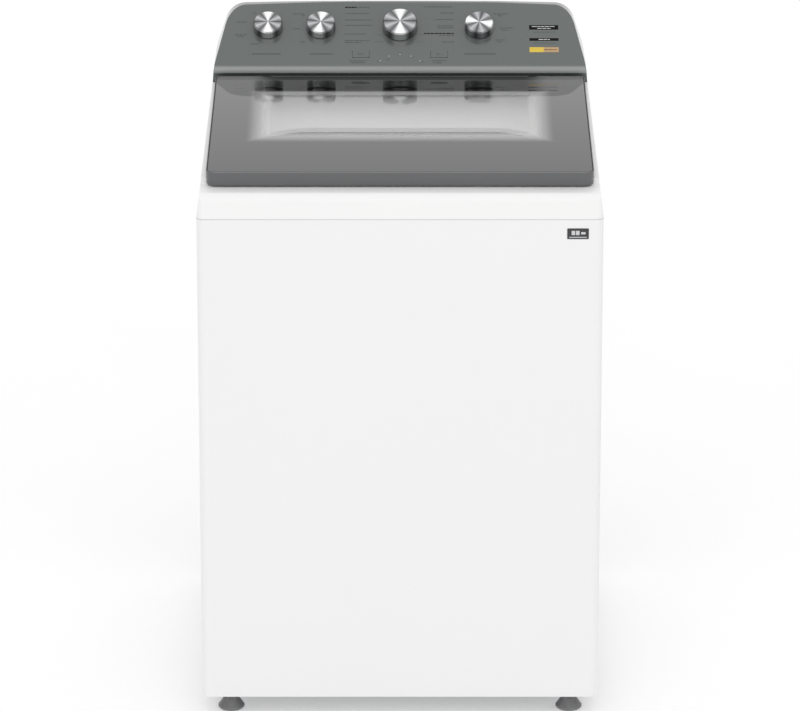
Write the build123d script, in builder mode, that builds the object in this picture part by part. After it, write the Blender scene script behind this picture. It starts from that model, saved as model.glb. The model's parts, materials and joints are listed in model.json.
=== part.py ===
from build123d import *
import os
from math import atan, cos, radians, sin, sqrt, tan

os.makedirs("parts", exist_ok=True)

# A top-loading washing machine. Origin on the floor under the middle, front towards -Y, +Z up.
# All sizes are millimetres.

# Overall box
width = 698.0
depth = 705.0
half_width = width / 2
half_depth = depth / 2
badge_thickness = 0.5
skin_front = -half_depth + badge_thickness
cabinet_bottom = 37.0
seam_height = 914.0
front_corner_radius = 14.0

# Sheet and wall thicknesses
sheet = 1.0
cover_wall = 3.0
screw_head = 1.2
rear_sheet_face = half_depth - screw_head
shell_rear = rear_sheet_face - sheet

# Lid: its top face rises towards the back
lid_front = -312.5
lid_front_height = 986.0
lid_rear = 196.0
lid_rear_height = 1023.0
lid_half_width = 333.0
lid_slope = atan((lid_rear_height - lid_front_height) / (lid_rear - lid_front))
lid_length = (lid_rear - lid_front) / cos(lid_slope)
lid_depth = 14.0
lip_depth = 24.0
glass_thickness = 4.0
bed_gap = 2.0
hinge_y = 184.0
hinge_z = 1011.0
hinge_pin_radius = 3.0
hinge_x = 240.0

# Top cover: front ledge, sloping bed under the lid, well and opening
ledge_height = 957.5
riser_y = -293.0
deck_height = 1004.0
deck_front = 209.0
trough_front = 160.0
trough_floor = 993.0
trough_half_width = 334.0
well_half_width = 268.0
well_front = -276.0
well_rear = 150.0
opening_half_width = 245.0
opening_front = -270.0
opening_rear = 100.0
opening_height = 950.0
opening_skirt = 8.0

# Console: panel face leans back
panel_angle = 34.0
nose_y = 202.0
nose_z = 1033.3
crown_height = 1126.0
fascia_depth = 12.0
knob_reach = 100.5

# Drive train, all on the tub axis
axis_y = -10.0
tub_radius = 298.0
tub_wall = 4.0
tub_bottom = 214.0
tub_rim = 898.0
basket_radius = 266.0
basket_wall = 1.2
basket_bottom = 252.0
basket_top = 892.0
balance_inner = 236.0
balance_bottom = 846.0
balance_top = 890.0
spin_tube_radius = 17.5
shaft_radius = 9.0
running_clearance = 0.05
rod_spread = 272.0
rod_radius = 4.0
seat_height = 870.0
cup_height = 140.0
ear_height = 208.0
pulley_radius = 75.0
motor_pulley_radius = 21.0
motor_x = 150.0
motor_y = 60.0
belt_bottom = 73.0
belt_width = 12.0

# Feet
foot_x = 299.0
foot_y = 307.5
foot_radius = 23.2
foot_neck = 14.0
foot_height = 21.0
foot_nut_height = 8.0
stud_radius = 5.0
stud_length = 46.0

lid_plane = Plane((0, lid_front, lid_front_height), (1, 0, 0), (0, -sin(lid_slope), cos(lid_slope)))
panel_normal = (0, -sin(radians(panel_angle)), cos(radians(panel_angle)))
panel_plane = Plane((0, nose_y, nose_z), (1, 0, 0), panel_normal)


def panel_spot(x, reach, lift=0.0):
    # a plane parallel to the panel, centred x across it and reach up its slope
    rise = radians(panel_angle)
    y = nose_y + reach * cos(rise) - lift * sin(rise)
    z = nose_z + reach * sin(rise) + lift * cos(rise)
    return Plane((x, y, z), (1, 0, 0), panel_normal)


def lid_spot(x, y, lift=0.0):
    # a plane parallel to the lid's top face, y measured back along it from the front edge
    return Plane(lid_plane.from_local_coords((x, y, lift)), (1, 0, 0), lid_plane.z_dir)


def bed_height(y):
    return lid_front_height + (y - lid_front) * tan(lid_slope) - (lid_depth + bed_gap) / cos(lid_slope)


def write_piece(piece, name):
    piece.part.label = name
    export_step(piece.part, f"parts/{name}.step")


def corners_near(vertices, x, y):
    return [v for v in vertices if abs(abs(v.X) - x) < 0.5 and abs(v.Y - y) < 0.5]


# ---------------------------------------------------------------- shared outlines

shoulder = (342.5, 965.0)
waist = (336.8, 1038.0)
crown_corner = (309.0, 1120.8)


def front_outline(inset):
    # the machine above the seam, seen from the front: sides lean in, the crown is gently arched
    right = [(half_width, seam_height - 60), (half_width, seam_height), shoulder, waist, crown_corner]
    left = [(-x, z) for x, z in reversed(right)]
    with BuildSketch(Plane.XZ) as outline:
        with BuildLine():
            Polyline(*right)
            ThreePointArc(crown_corner, (0, crown_height), left[0])
            Polyline(*left)
            Line(left[-1], right[0])
        make_face()
        fillet(corners_near(outline.vertices(), *crown_corner), 40)
        fillet(corners_near(outline.vertices(), *waist), 90)
        fillet(corners_near(outline.vertices(), *shoulder), 250)
        if inset:
            offset(amount=-inset, mode=Mode.REPLACE)
    return outline.sketch


def plan_outline(inset, rear):
    # the machine from above, with rounded front corners
    span = rear - skin_front
    with BuildSketch(Plane.XY.offset(cabinet_bottom)) as plan:
        with Locations((0, (rear + skin_front) / 2)):
            Rectangle(width, span)
        fillet(plan.vertices().group_by(Axis.Y)[0], front_corner_radius)
        fillet(plan.vertices().group_by(Axis.Y)[-1], 4)
        if inset:
            offset(amount=-inset, mode=Mode.REPLACE)
    return plan.sketch


def side_outline(points, rounded, inset):
    # a closed outline in the YZ plane, with a radius at some of its corners
    with BuildSketch(Plane.YZ) as side:
        with BuildLine():
            Polyline(*points, close=True)
        make_face()
        for (y, z), radius in rounded:
            corner = [v for v in side.vertices() if abs(v.X - y) < 0.01 and abs(v.Y - z) < 0.01]
            fillet(corner, radius)
        if inset:
            offset(amount=-inset, mode=Mode.REPLACE)
    return side.sketch


def block_above_seam(side, inset):
    with BuildPart() as block:
        extrude(side, amount=half_width + 10, both=True)
        extrude(front_outline(inset), amount=half_depth + 10, both=True, mode=Mode.INTERSECT)
        extrude(plan_outline(inset, half_depth), amount=1200, mode=Mode.INTERSECT)
    return block.part


def cover_block(inset):
    # the top cover's solid, before its well is cut: front band, ledge, riser, bed and rear deck
    low = seam_height - (20 if inset else 0)
    ledge_corner = (skin_front, ledge_height)
    points = [(skin_front, low), ledge_corner, (riser_y, ledge_height + 3),
              (riser_y, bed_height(riser_y)), (deck_front, bed_height(deck_front)),
              (deck_front, deck_height), (half_depth, deck_height), (half_depth, low)]
    rounded = [(ledge_corner, 17), (points[2], 4), (points[3], 4)]
    return block_above_seam(side_outline(points, rounded, inset), inset)


def console_block(inset):
    # the console's solid: a wedge with a rounded nose at the front and a rounded top edge
    low = deck_height - (20 if inset else 0)
    slope = tan(radians(panel_angle))
    nose_top = (nose_y, nose_z)
    rear_top = (half_depth, nose_z + slope * (half_depth - nose_y))
    points = [(nose_y + 9, low), (nose_y + 9, nose_z - 7.5), (nose_y, nose_z - 7.5),
              nose_top, rear_top, (half_depth, low)]
    rounded = [(points[2], 2), (nose_top, 7), (rear_top, 10)]
    return block_above_seam(side_outline(points, rounded, inset), inset)


# ---------------------------------------------------------------- cabinet

cabinet_height = seam_height - cabinet_bottom
flange = 22.0
rear_flange = 30.0
screw_rows = (70.0, 340.0, 610.0, 880.0)
screw_x = half_width - 13
screw_spots = [(side * screw_x, z) for side in (-1, 1) for z in screw_rows]
screw_radius = 2.0

with BuildPart() as cabinet_shell:
    extrude(plan_outline(0, shell_rear), amount=cabinet_height)
    with BuildSketch(Plane.XY.offset(cabinet_bottom + sheet)):
        with Locations((0, (shell_rear + skin_front) / 2)):
            RectangleRounded(width - 2 * sheet, shell_rear - skin_front - 2 * sheet,
                             front_corner_radius - sheet)
    extrude(amount=cabinet_height - 2 * sheet, mode=Mode.SUBTRACT)
    with BuildSketch(Plane.XY.offset(cabinet_bottom)):
        with Locations((0, (shell_rear + skin_front) / 2)):
            RectangleRounded(width - 2 * flange, shell_rear - skin_front - 2 * flange, 12)
    extrude(amount=cabinet_height, mode=Mode.SUBTRACT)
    with BuildSketch(Plane.XZ.offset(-shell_rear)):
        with Locations((0, (cabinet_bottom + seam_height) / 2)):
            Rectangle(width - 2 * rear_flange, cabinet_height - 2 * rear_flange)
    extrude(amount=10, mode=Mode.SUBTRACT)
    with BuildSketch(Plane.XZ.offset(-shell_rear)):
        with Locations(*screw_spots):
            Circle(screw_radius)
    extrude(amount=10, mode=Mode.SUBTRACT)

write_piece(cabinet_shell, "cabinet_shell")

outlet_x = -230.0
outlet_z = 150.0
gland_x = 230.0
gland_z = 150.0
pocket = 76.0
rib_rows = (330.0, 470.0, 610.0, 750.0)
rib_depth = 5.0
rib_length = 540.0
rib_width = 44.0

with BuildPart() as rear_panel:
    with BuildSketch(Plane.XZ.offset(-rear_sheet_face)):
        with Locations((0, (cabinet_bottom + seam_height) / 2)):
            Rectangle(width - 8, cabinet_height - 6)
    extrude(amount=sheet)
    with BuildSketch(Plane.XZ.offset(-shell_rear)):
        with Locations(*[(0, z) for z in rib_rows]):
            SlotOverall(rib_length, rib_width)
    extrude(amount=rib_depth)
    with BuildSketch(Plane.XZ.offset(-rear_sheet_face)):
        with Locations(*[(0, z) for z in rib_rows]):
            SlotOverall(rib_length - 2 * sheet, rib_width - 2 * sheet)
    extrude(amount=rib_depth, mode=Mode.SUBTRACT)
    with BuildSketch(Plane.XZ.offset(-rear_sheet_face)):
        with Locations((outlet_x, outlet_z)):
            Rectangle(pocket, pocket)
        with Locations((gland_x, gland_z)):
            Circle(9)
        with Locations(*screw_spots):
            Circle(screw_radius)
    extrude(amount=rib_depth + 5, mode=Mode.SUBTRACT)

write_piece(rear_panel, "rear_panel")

with BuildPart() as cabinet_screws:
    with BuildSketch(Plane.XZ.offset(-half_depth)):
        with Locations(*screw_spots):
            Circle(4.2)
    extrude(amount=screw_head)
    with BuildSketch(Plane.XZ.offset(-rear_sheet_face)):
        with Locations(*screw_spots):
            Circle(screw_radius)
    extrude(amount=9)
    with BuildSketch(Plane.XZ.offset(-half_depth)):
        with Locations(*screw_spots):
            RegularPolygon(1.6, 6)
    extrude(amount=0.8, mode=Mode.SUBTRACT)

write_piece(cabinet_screws, "cabinet_screws")

frame_plate = 2.0
frame_bottom = cabinet_bottom + sheet
frame_width = 60.0
frame_wall = 24.0
boss_height = 20.0
frame_centre = (shell_rear + skin_front) / 2
frame_span = shell_rear - skin_front - 2 * sheet
foot_spots = [(x, y) for x in (-foot_x, foot_x) for y in (-foot_y, foot_y)]

with BuildPart() as base_frame:
    with BuildSketch(Plane.XY.offset(frame_bottom)):
        with Locations((0, frame_centre)):
            RectangleRounded(width - 2 * sheet - 1, frame_span - 1, front_corner_radius)
        with Locations((0, frame_centre)):
            RectangleRounded(width - 2 * frame_width, frame_span - 2 * frame_width, 70, mode=Mode.SUBTRACT)
    extrude(amount=frame_plate)
    with BuildSketch(Plane.XY.offset(frame_bottom)):
        with Locations((0, frame_centre)):
            RectangleRounded(width - 2 * frame_width + 2 * frame_plate,
                             frame_span - 2 * frame_width + 2 * frame_plate, 70)
            RectangleRounded(width - 2 * frame_width, frame_span - 2 * frame_width, 70,
                             mode=Mode.SUBTRACT)
    extrude(amount=frame_wall)
    with BuildSketch(Plane.XY.offset(frame_bottom)):
        with Locations(*foot_spots):
            Circle(11)
    extrude(amount=boss_height)
    with BuildSketch(Plane.XY.offset(frame_bottom)):
        with Locations(*foot_spots):
            Circle(stud_radius + running_clearance)
    extrude(amount=boss_height, mode=Mode.SUBTRACT)

write_piece(base_frame, "base_frame")

nut_height = 7.0

with BuildPart() as foot_lock_nuts:
    with BuildSketch(Plane.XY.offset(frame_bottom - nut_height)):
        with Locations(*foot_spots):
            RegularPolygon(9.8, 6)
        with Locations(*foot_spots):
            Circle(stud_radius + running_clearance, mode=Mode.SUBTRACT)
    extrude(amount=nut_height)
    chamfer(foot_lock_nuts.edges().filter_by(Axis.Z, reverse=True).filter_by(GeomType.LINE), 0.8)

write_piece(foot_lock_nuts, "foot_lock_nuts")

foot_names = {(-1, -1): "foot_front_left", (1, -1): "foot_front_right",
              (-1, 1): "foot_rear_left", (1, 1): "foot_rear_right"}

for (x_side, y_side), foot_name in foot_names.items():
    foot_base = Plane((x_side * foot_x, y_side * foot_y, 0))
    with BuildPart() as foot:
        with BuildSketch(Plane(foot_base.origin, (1, 0, 0), (0, -1, 0))):
            with BuildLine():
                Polyline((0, 0), (foot_radius - 3, 0), (foot_radius, 3), (foot_radius, 6),
                         (foot_radius - 2, 8.5), (foot_neck, foot_height - 2),
                         (foot_neck, foot_height), (0, foot_height), close=True)
            make_face()
        revolve(axis=Axis(foot_base.origin, (0, 0, 1)))
        with BuildSketch(foot_base.offset(foot_height)):
            RegularPolygon(foot_neck, 6)
        extrude(amount=foot_nut_height)
        with BuildSketch(foot_base.offset(foot_height + foot_nut_height)):
            Circle(stud_radius)
        extrude(amount=stud_length)
        chamfer(foot.faces().sort_by(Axis.Z)[-1].edges(), 1)
    write_piece(foot, foot_name)

# ---------------------------------------------------------------- top cover


def well_block(growth, top_lift, bottom_z):
    # funnel between the well's rim on the bed and the opening below it
    to_rim = (well_front - lid_front) / cos(lid_slope)
    rim_length = (well_rear - well_front) / cos(lid_slope)
    with BuildPart() as funnel:
        with BuildSketch(lid_plane.offset(-lid_depth - bed_gap + top_lift)):
            with Locations((0, to_rim + rim_length / 2)):
                RectangleRounded(2 * (well_half_width + growth), rim_length + 2 * growth, 60 + growth)
        with BuildSketch(Plane.XY.offset(bottom_z)):
            with Locations((0, (opening_front + opening_rear) / 2)):
                RectangleRounded(2 * (opening_half_width + growth),
                                 opening_rear - opening_front + 2 * growth, 85 + growth)
        loft()
    return funnel.part


def opening_block(growth, bottom_z, height):
    with BuildPart() as throat:
        with BuildSketch(Plane.XY.offset(bottom_z)):
            with Locations((0, (opening_front + opening_rear) / 2)):
                RectangleRounded(2 * (opening_half_width + growth),
                                 opening_rear - opening_front + 2 * growth, 85 + growth)
        extrude(amount=height)
    return throat.part


cover_outer = cover_block(0)
cover_cavity = cover_block(cover_wall)
well_outer = well_block(cover_wall, -0.5, opening_height)
well_inner = well_block(0, 0.2, opening_height - 0.2)
throat_outer = opening_block(cover_wall, opening_height - opening_skirt, opening_skirt + 1)
throat_inner = opening_block(0, opening_height - opening_skirt - 5, opening_skirt + 6)
trough_centre = (trough_front + deck_front) / 2
trough_length = deck_front - trough_front
slot_x = 305.0
slot_y = -152.0
valve_x = -215.0
valve_z = 962.0
valve_pocket_width = 132.0
valve_pocket_height = 52.0

with BuildPart() as top_cover:
    add(cover_outer)
    add(cover_cavity, mode=Mode.SUBTRACT)
    with BuildSketch(Plane.XY.offset(trough_floor - cover_wall)):
        with Locations((0, trough_centre)):
            Rectangle(2 * trough_half_width, trough_length + 2 * cover_wall)
    extrude(amount=deck_height - cover_wall - trough_floor + cover_wall)
    add(well_outer)
    add(throat_outer)
    add(well_inner, mode=Mode.SUBTRACT)
    add(throat_inner, mode=Mode.SUBTRACT)
    with BuildSketch(Plane.XY.offset(trough_floor)):
        with Locations((0, trough_centre)):
            Rectangle(2 * trough_half_width, trough_length)
    extrude(amount=40, mode=Mode.SUBTRACT)
    with BuildSketch(Plane.XY.offset(seam_height + 40)):
        with Locations((slot_x, slot_y)):
            Rectangle(11, 26)
    extrude(amount=40, mode=Mode.SUBTRACT)
    with BuildSketch(Plane.XZ.offset(-half_depth - 1)):
        with Locations((valve_x, valve_z)):
            RectangleRounded(valve_pocket_width, valve_pocket_height, 5)
    extrude(amount=6, mode=Mode.SUBTRACT)

write_piece(top_cover, "top_cover")

# ---------------------------------------------------------------- console

console_outer = console_block(0)
console_cavity = console_block(cover_wall)
split_plane = panel_plane.offset(-fascia_depth)

knob_table = {"temperature": -240.0, "water_level": -144.0, "cycle": 0.0, "soil": 144.0}
knob_hole = 5.2
key_x = 71.0
key_reach = 36.5
key_width = 31.0
key_length = 15.0
key_gap = 0.3
light_x = (-36.0, -20.0, 0.0, 20.0, 36.0)
light_sag = 16.0
light_radius = 1.6
light_spots = [(x, 37.0 - light_sag * (x / 36.0) ** 2) for x in light_x]

with BuildPart() as console_fascia:
    add(console_outer)
    add(console_cavity, mode=Mode.SUBTRACT)
    split(bisect_by=split_plane, keep=Keep.TOP)
    with BuildSketch(panel_plane):
        with Locations(*[(x, knob_reach) for x in knob_table.values()]):
            Circle(knob_hole)
        with Locations((-key_x, key_reach), (key_x, key_reach)):
            Rectangle(key_width + 2 * key_gap, key_length + 2 * key_gap)
        with Locations(*light_spots):
            Circle(light_radius)
    extrude(amount=fascia_depth, both=True, mode=Mode.SUBTRACT)

write_piece(console_fascia, "console_fascia")

with BuildPart() as console_housing:
    add(console_outer)
    add(console_cavity, mode=Mode.SUBTRACT)
    split(bisect_by=split_plane, keep=Keep.BOTTOM)

write_piece(console_housing, "console_housing")

with BuildPart() as indicator_lenses:
    with BuildSketch(panel_plane.offset(-5)):
        with Locations(*light_spots):
            Circle(light_radius)
    extrude(amount=5.3)

write_piece(indicator_lenses, "indicator_lenses")

encoder_top = -cover_wall
encoder_height = 9.0
encoder_width = 22.0
stem_radius = 3.0
stem_length = 9.0

with BuildPart() as knob_encoders:
    with BuildSketch(panel_plane.offset(encoder_top - encoder_height)):
        with Locations(*[(x, knob_reach) for x in knob_table.values()]):
            RectangleRounded(encoder_width, encoder_width, 2)
    extrude(amount=encoder_height)
    with BuildSketch(panel_plane.offset(encoder_top)):
        with Locations(*[(x, knob_reach) for x in knob_table.values()]):
            Circle(knob_hole)
    extrude(amount=cover_wall)
    with BuildSketch(panel_plane.offset(encoder_top - encoder_height + 2)):
        with Locations(*[(x, knob_reach) for x in knob_table.values()]):
            Circle(stem_radius + running_clearance)
    extrude(amount=encoder_height + cover_wall, mode=Mode.SUBTRACT)

write_piece(knob_encoders, "knob_encoders")


def make_knob(name, x, radius, height):
    # turned knob body with its stem, and the thin metal cap over its face and side
    base = panel_spot(x, knob_reach)
    spin = Axis(base.origin, base.z_dir)
    section = Plane(base.origin, (1, 0, 0), base.x_dir.cross(base.z_dir))
    floor_gap = 1.0
    skin = 0.8
    cap_foot = 4.0
    with BuildPart() as knob:
        with BuildSketch(section):
            with BuildLine():
                Polyline((0, floor_gap), (radius - 2.5, floor_gap), (radius - 2.5, cap_foot),
                         (radius - 1.2, cap_foot), (radius - 1.5, height - skin - 1.5),
                         (radius - 3, height - skin), (0, height - skin), close=True)
            make_face()
        revolve(axis=spin)
        with BuildSketch(base.offset(-stem_length)):
            Circle(stem_radius)
        extrude(amount=stem_length + floor_gap + 1)
    write_piece(knob, f"{name}_knob")
    with BuildPart() as cap:
        with BuildSketch(section):
            with BuildLine():
                Polyline((0, height - skin), (radius - 3, height - skin),
                         (radius - 1.5, height - skin - 1.5), (radius - 1.2, cap_foot),
                         (radius, cap_foot), (radius - 0.4, height - 1.2),
                         (radius - 1.6, height), (0, height), close=True)
            make_face()
        revolve(axis=spin)
    write_piece(cap, f"{name}_knob_cap")


main_knob = {"radius": 31.5, "height": 20.0}
side_knob = {"radius": 26.5, "height": 18.0}

for knob_name, knob_x in knob_table.items():
    knob_size = main_knob if knob_name == "cycle" else side_knob
    make_knob(knob_name, knob_x, **knob_size)

board_drop = 26.0
board_thickness = 1.6
board_width = 220.0
board_height = 84.0
board_reach = 62.0
switch_height = 4.0
pillar_x = 100.0
pillar_reaches = (25.0, 99.0)

with BuildPart() as control_board:
    with BuildSketch(panel_plane.offset(-board_drop)):
        with Locations((0, board_reach)):
            Rectangle(board_width, board_height)
    extrude(amount=board_thickness)
    with BuildSketch(panel_plane.offset(-board_drop + board_thickness)):
        with Locations((-key_x, key_reach), (key_x, key_reach)):
            Rectangle(6, 6)
    extrude(amount=switch_height)
    with BuildSketch(panel_plane.offset(-board_drop + board_thickness)):
        with Locations((-70, 80), (75, 82)):
            Rectangle(24, 18)
        with Locations((35, 60)):
            Rectangle(14, 14)
    extrude(amount=7)
    with BuildSketch(panel_plane.offset(-board_drop + board_thickness)):
        with Locations(*[(x, reach) for x in (-pillar_x, pillar_x) for reach in pillar_reaches]):
            Circle(3)
    extrude(amount=board_drop - board_thickness - cover_wall)

write_piece(control_board, "control_board")

key_travel = 1.5
key_skirt = 1.7
plunger_gap = key_travel + 0.4
plunger_foot = board_thickness + switch_height + plunger_gap - board_drop

for key_name, key_side in {"start_key": 1, "options_key": -1}.items():
    with BuildPart() as key:
        with BuildSketch(panel_spot(key_side * key_x, key_reach, -cover_wall - 0.3)):
            RectangleRounded(key_width, key_length, 2)
        extrude(amount=cover_wall + 1.1)
        chamfer(key.faces().sort_by(Axis.Z)[-1].edges(), 0.4)
        with BuildSketch(panel_spot(key_side * key_x, key_reach, -cover_wall - 2.0)):
            Rectangle(key_width + 4, key_length + 4)
        extrude(amount=key_skirt)
        with BuildSketch(panel_spot(key_side * key_x, key_reach, plunger_foot)):
            Circle(2.5)
        extrude(amount=-plunger_foot - cover_wall - 1.5)
    write_piece(key, key_name)

sensor_spot = (265.0, 300.0)
sensor_stack = ((28.0, 22.0), (12.0, 12.0), (3.0, 8.0))
sensor_foot = deck_height

with BuildPart() as pressure_switch:
    for sensor_radius, sensor_height in sensor_stack:
        with BuildSketch(Plane.XY.offset(sensor_foot)):
            with Locations(sensor_spot):
                Circle(sensor_radius)
        extrude(amount=sensor_height)
        sensor_foot += sensor_height

write_piece(pressure_switch, "pressure_switch")

# ---------------------------------------------------------------- water and power connections

valve_back = 328.0
spigot_radius = 13.2
spigot_bore = 9.5
spigot_spread = 34.0
coil_length = 34.0
coil_radius = 15.0
spigot_spots = [(valve_x - spigot_spread, valve_z), (valve_x + spigot_spread, valve_z)]
valve_wall_face = half_depth - cover_wall

with BuildPart() as inlet_valve:
    with BuildSketch(Plane.XZ.offset(-valve_wall_face)):
        with Locations((valve_x, valve_z)):
            RectangleRounded(valve_pocket_width + 4, valve_pocket_height + 4, 5)
    extrude(amount=valve_wall_face - valve_back)
    with BuildSketch(Plane.XZ.offset(-valve_wall_face)):
        with Locations((valve_x, valve_z)):
            RectangleRounded(valve_pocket_width, valve_pocket_height, 4)
    extrude(amount=valve_wall_face - valve_back - 3, mode=Mode.SUBTRACT)
    with BuildSketch(Plane.XZ.offset(-half_depth + 1)):
        with Locations(*spigot_spots):
            Circle(spigot_radius)
    extrude(amount=half_depth - 1 - valve_back)
    with BuildSketch(Plane.XZ.offset(-valve_back)):
        with Locations(*spigot_spots):
            Circle(coil_radius)
    extrude(amount=coil_length)
    with BuildSketch(Plane.XZ.offset(-valve_back + 14)):
        with Locations((valve_x, valve_z)):
            Rectangle(2 * spigot_spread, 18)
    extrude(amount=18)
    with BuildSketch(Plane.XZ.offset(-half_depth + 1)):
        with Locations(*spigot_spots):
            Circle(spigot_bore)
    extrude(amount=half_depth - 1 - valve_back - 6, mode=Mode.SUBTRACT)

write_piece(inlet_valve, "inlet_valve")

tube_start = valve_back - coil_length
tube_outer = 9.0
tube_inner = 7.0
spout_height = 935.0
tube_path_points = [(valve_x, tube_start, valve_z), (valve_x, 240, valve_z - 4), (-60, 215, 944),
                    (0, 180, spout_height), (0, 112, spout_height)]
tube_path = FilletPolyline(*tube_path_points, radius=[24, 60, 30])

with BuildPart() as inlet_spout:
    with BuildSketch(Plane(tube_path @ 0, z_dir=tube_path % 0)):
        Circle(tube_outer)
    sweep(path=tube_path)
    with BuildSketch(Plane(tube_path @ 0, z_dir=tube_path % 0)):
        Circle(tube_inner)
    sweep(path=tube_path, mode=Mode.SUBTRACT)

write_piece(inlet_spout, "inlet_spout")

outlet_radius = 14.0
outlet_bore = 11.0
outlet_length = 50.0

with BuildPart() as drain_outlet:
    with BuildSketch(Plane.XZ.offset(-shell_rear)):
        with Locations((outlet_x, outlet_z)):
            RectangleRounded(pocket + 10, pocket + 10, 4)
    extrude(amount=30)
    with BuildSketch(Plane.XZ.offset(-shell_rear)):
        with Locations((outlet_x, outlet_z)):
            RectangleRounded(pocket - 2, pocket - 2, 4)
    extrude(amount=27.5, mode=Mode.SUBTRACT)
    with BuildSketch(Plane.XZ.offset(-shell_rear)):
        with Locations((outlet_x, outlet_z)):
            Circle(outlet_radius)
    extrude(amount=outlet_length)
    with BuildSketch(Plane.XZ.offset(-shell_rear)):
        with Locations((outlet_x, outlet_z)):
            Circle(outlet_bore)
    extrude(amount=outlet_length, mode=Mode.SUBTRACT)

write_piece(drain_outlet, "drain_outlet")

gland_bore = 4.5
gland_length = 16.0
gland_body = 8.9
gland_rim = 12.0

with BuildPart() as cord_gland:
    with BuildSketch(Plane.XZ.offset(-rear_sheet_face - 1)):
        with Locations((gland_x, gland_z)):
            Circle(gland_rim)
    extrude(amount=1)
    with BuildSketch(Plane.XZ.offset(-rear_sheet_face)):
        with Locations((gland_x, gland_z)):
            Circle(gland_body)
    extrude(amount=gland_length)
    with BuildSketch(Plane.XZ.offset(-rear_sheet_face - 1)):
        with Locations((gland_x, gland_z)):
            Circle(gland_bore)
    extrude(amount=gland_length + 1, mode=Mode.SUBTRACT)

write_piece(cord_gland, "cord_gland")

badge_x = 304.7
badge_z = 889.0
badge_width = 37.0
badge_height = 19.0

with BuildPart() as capacity_badge:
    with BuildSketch(Plane.XZ.offset(half_depth - badge_thickness)):
        with Locations((badge_x, badge_z)):
            RectangleRounded(badge_width, badge_height, 1.5)
    extrude(amount=badge_thickness)

write_piece(capacity_badge, "capacity_badge")

# ---------------------------------------------------------------- lid

lip_width = 14.0
crease = 5.0
glass_edge = 2.5
glass_corner = 13.0
clear_cut = 40.0
grip_width = 300.0
grip_depth = 9.0


def lid_outline(margin):
    # the lid from above, pulled in by a margin all round
    with BuildSketch(lid_plane) as outline:
        with Locations((0, lid_length / 2)):
            Rectangle(2 * (lid_half_width - margin), lid_length - 2 * margin)
        fillet(outline.vertices().group_by(Axis.Y)[0], 18 - margin)
        fillet(outline.vertices().group_by(Axis.Y)[-1], 10 - margin)
    return outline.sketch


def glass_block(growth):
    front = crease - growth
    rear = lid_length - glass_edge + growth
    half = lid_half_width - glass_edge + growth
    with BuildPart() as pane:
        with BuildSketch(lid_plane.offset(-glass_thickness)):
            with Locations((0, (front + rear) / 2)):
                RectangleRounded(2 * half, rear - front, glass_corner)
        extrude(amount=glass_thickness)
    return pane.part


with BuildPart() as lid_glass:
    add(glass_block(0))
    chamfer(lid_glass.faces().sort_by(Axis.Z)[-1].edges(), 0.6)

write_piece(lid_glass, "lid_glass")

with BuildPart() as lid_handle:
    extrude(lid_outline(0), amount=-lip_depth)
    with BuildSketch(lid_plane.offset(5)):
        with Locations((0, lip_width + lid_length / 2)):
            Rectangle(2 * half_width, lid_length)
    extrude(amount=-clear_cut, mode=Mode.SUBTRACT)
    add(glass_block(0), mode=Mode.SUBTRACT)
    with BuildSketch(lid_plane.offset(-lip_depth)):
        with Locations((0, lip_width)):
            Rectangle(grip_width, 16)
    extrude(amount=grip_depth, mode=Mode.SUBTRACT)

write_piece(lid_handle, "lid_handle")

ring_side = 45.0
ring_front = 50.0
ring_rear = 42.0
boss_width = 10.0
boss_radius = 6.0
notch = 16.0
notch_front = 174.0

with BuildPart() as lid_frame:
    extrude(lid_outline(0), amount=-lid_depth)
    with BuildSketch(lid_plane.offset(5)):
        with Locations((0, (lip_width - clear_cut) / 2)):
            Rectangle(2 * half_width, lip_width + clear_cut)
    extrude(amount=-clear_cut, mode=Mode.SUBTRACT)
    add(glass_block(0), mode=Mode.SUBTRACT)
    with BuildSketch(lid_plane):
        with Locations((0, (ring_front + lid_length - ring_rear) / 2)):
            RectangleRounded(2 * (lid_half_width - ring_side), lid_length - ring_front - ring_rear, 40)
    extrude(amount=-lid_depth, mode=Mode.SUBTRACT)
    with BuildSketch(Plane.YZ.offset(hinge_x - notch / 2 - boss_width)):
        with Locations((hinge_y, hinge_z)):
            Circle(boss_radius)
    extrude(amount=notch + 2 * boss_width)
    with BuildSketch(Plane.YZ.offset(-hinge_x - notch / 2 - boss_width)):
        with Locations((hinge_y, hinge_z)):
            Circle(boss_radius)
    extrude(amount=notch + 2 * boss_width)
    with BuildSketch(Plane.XY.offset(hinge_z - 20)):
        with Locations((-hinge_x, notch_front + 15), (hinge_x, notch_front + 15)):
            Rectangle(notch, 30)
    extrude(amount=60, mode=Mode.SUBTRACT)
    with BuildSketch(Plane.YZ):
        with Locations((hinge_y, hinge_z)):
            Circle(hinge_pin_radius)
    extrude(amount=hinge_x + notch / 2 + boss_width - 1, both=True, mode=Mode.SUBTRACT)

write_piece(lid_frame, "lid_frame")

with BuildPart() as lid_hinge_pins:
    for pin_side in (-1, 1):
        start = pin_side * hinge_x - notch / 2 - boss_width + 2
        with BuildSketch(Plane.YZ.offset(start)):
            with Locations((hinge_y, hinge_z)):
                Circle(hinge_pin_radius)
        extrude(amount=notch + 2 * boss_width - 4)

write_piece(lid_hinge_pins, "lid_hinge_pins")

bracket_thickness = 7.0
bracket_width = 10.0

with BuildPart() as lid_hinge_brackets:
    for bracket_side in (-1, 1):
        with BuildSketch(Plane.YZ.offset(bracket_side * hinge_x - bracket_thickness / 2)):
            with Locations((hinge_y, (trough_floor + hinge_z) / 2)):
                Rectangle(bracket_width, hinge_z - trough_floor)
            with Locations((hinge_y, hinge_z)):
                Circle(5.5)
            with Locations((hinge_y, hinge_z)):
                Circle(hinge_pin_radius + running_clearance, mode=Mode.SUBTRACT)
        extrude(amount=bracket_thickness)

write_piece(lid_hinge_brackets, "lid_hinge_brackets")

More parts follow.
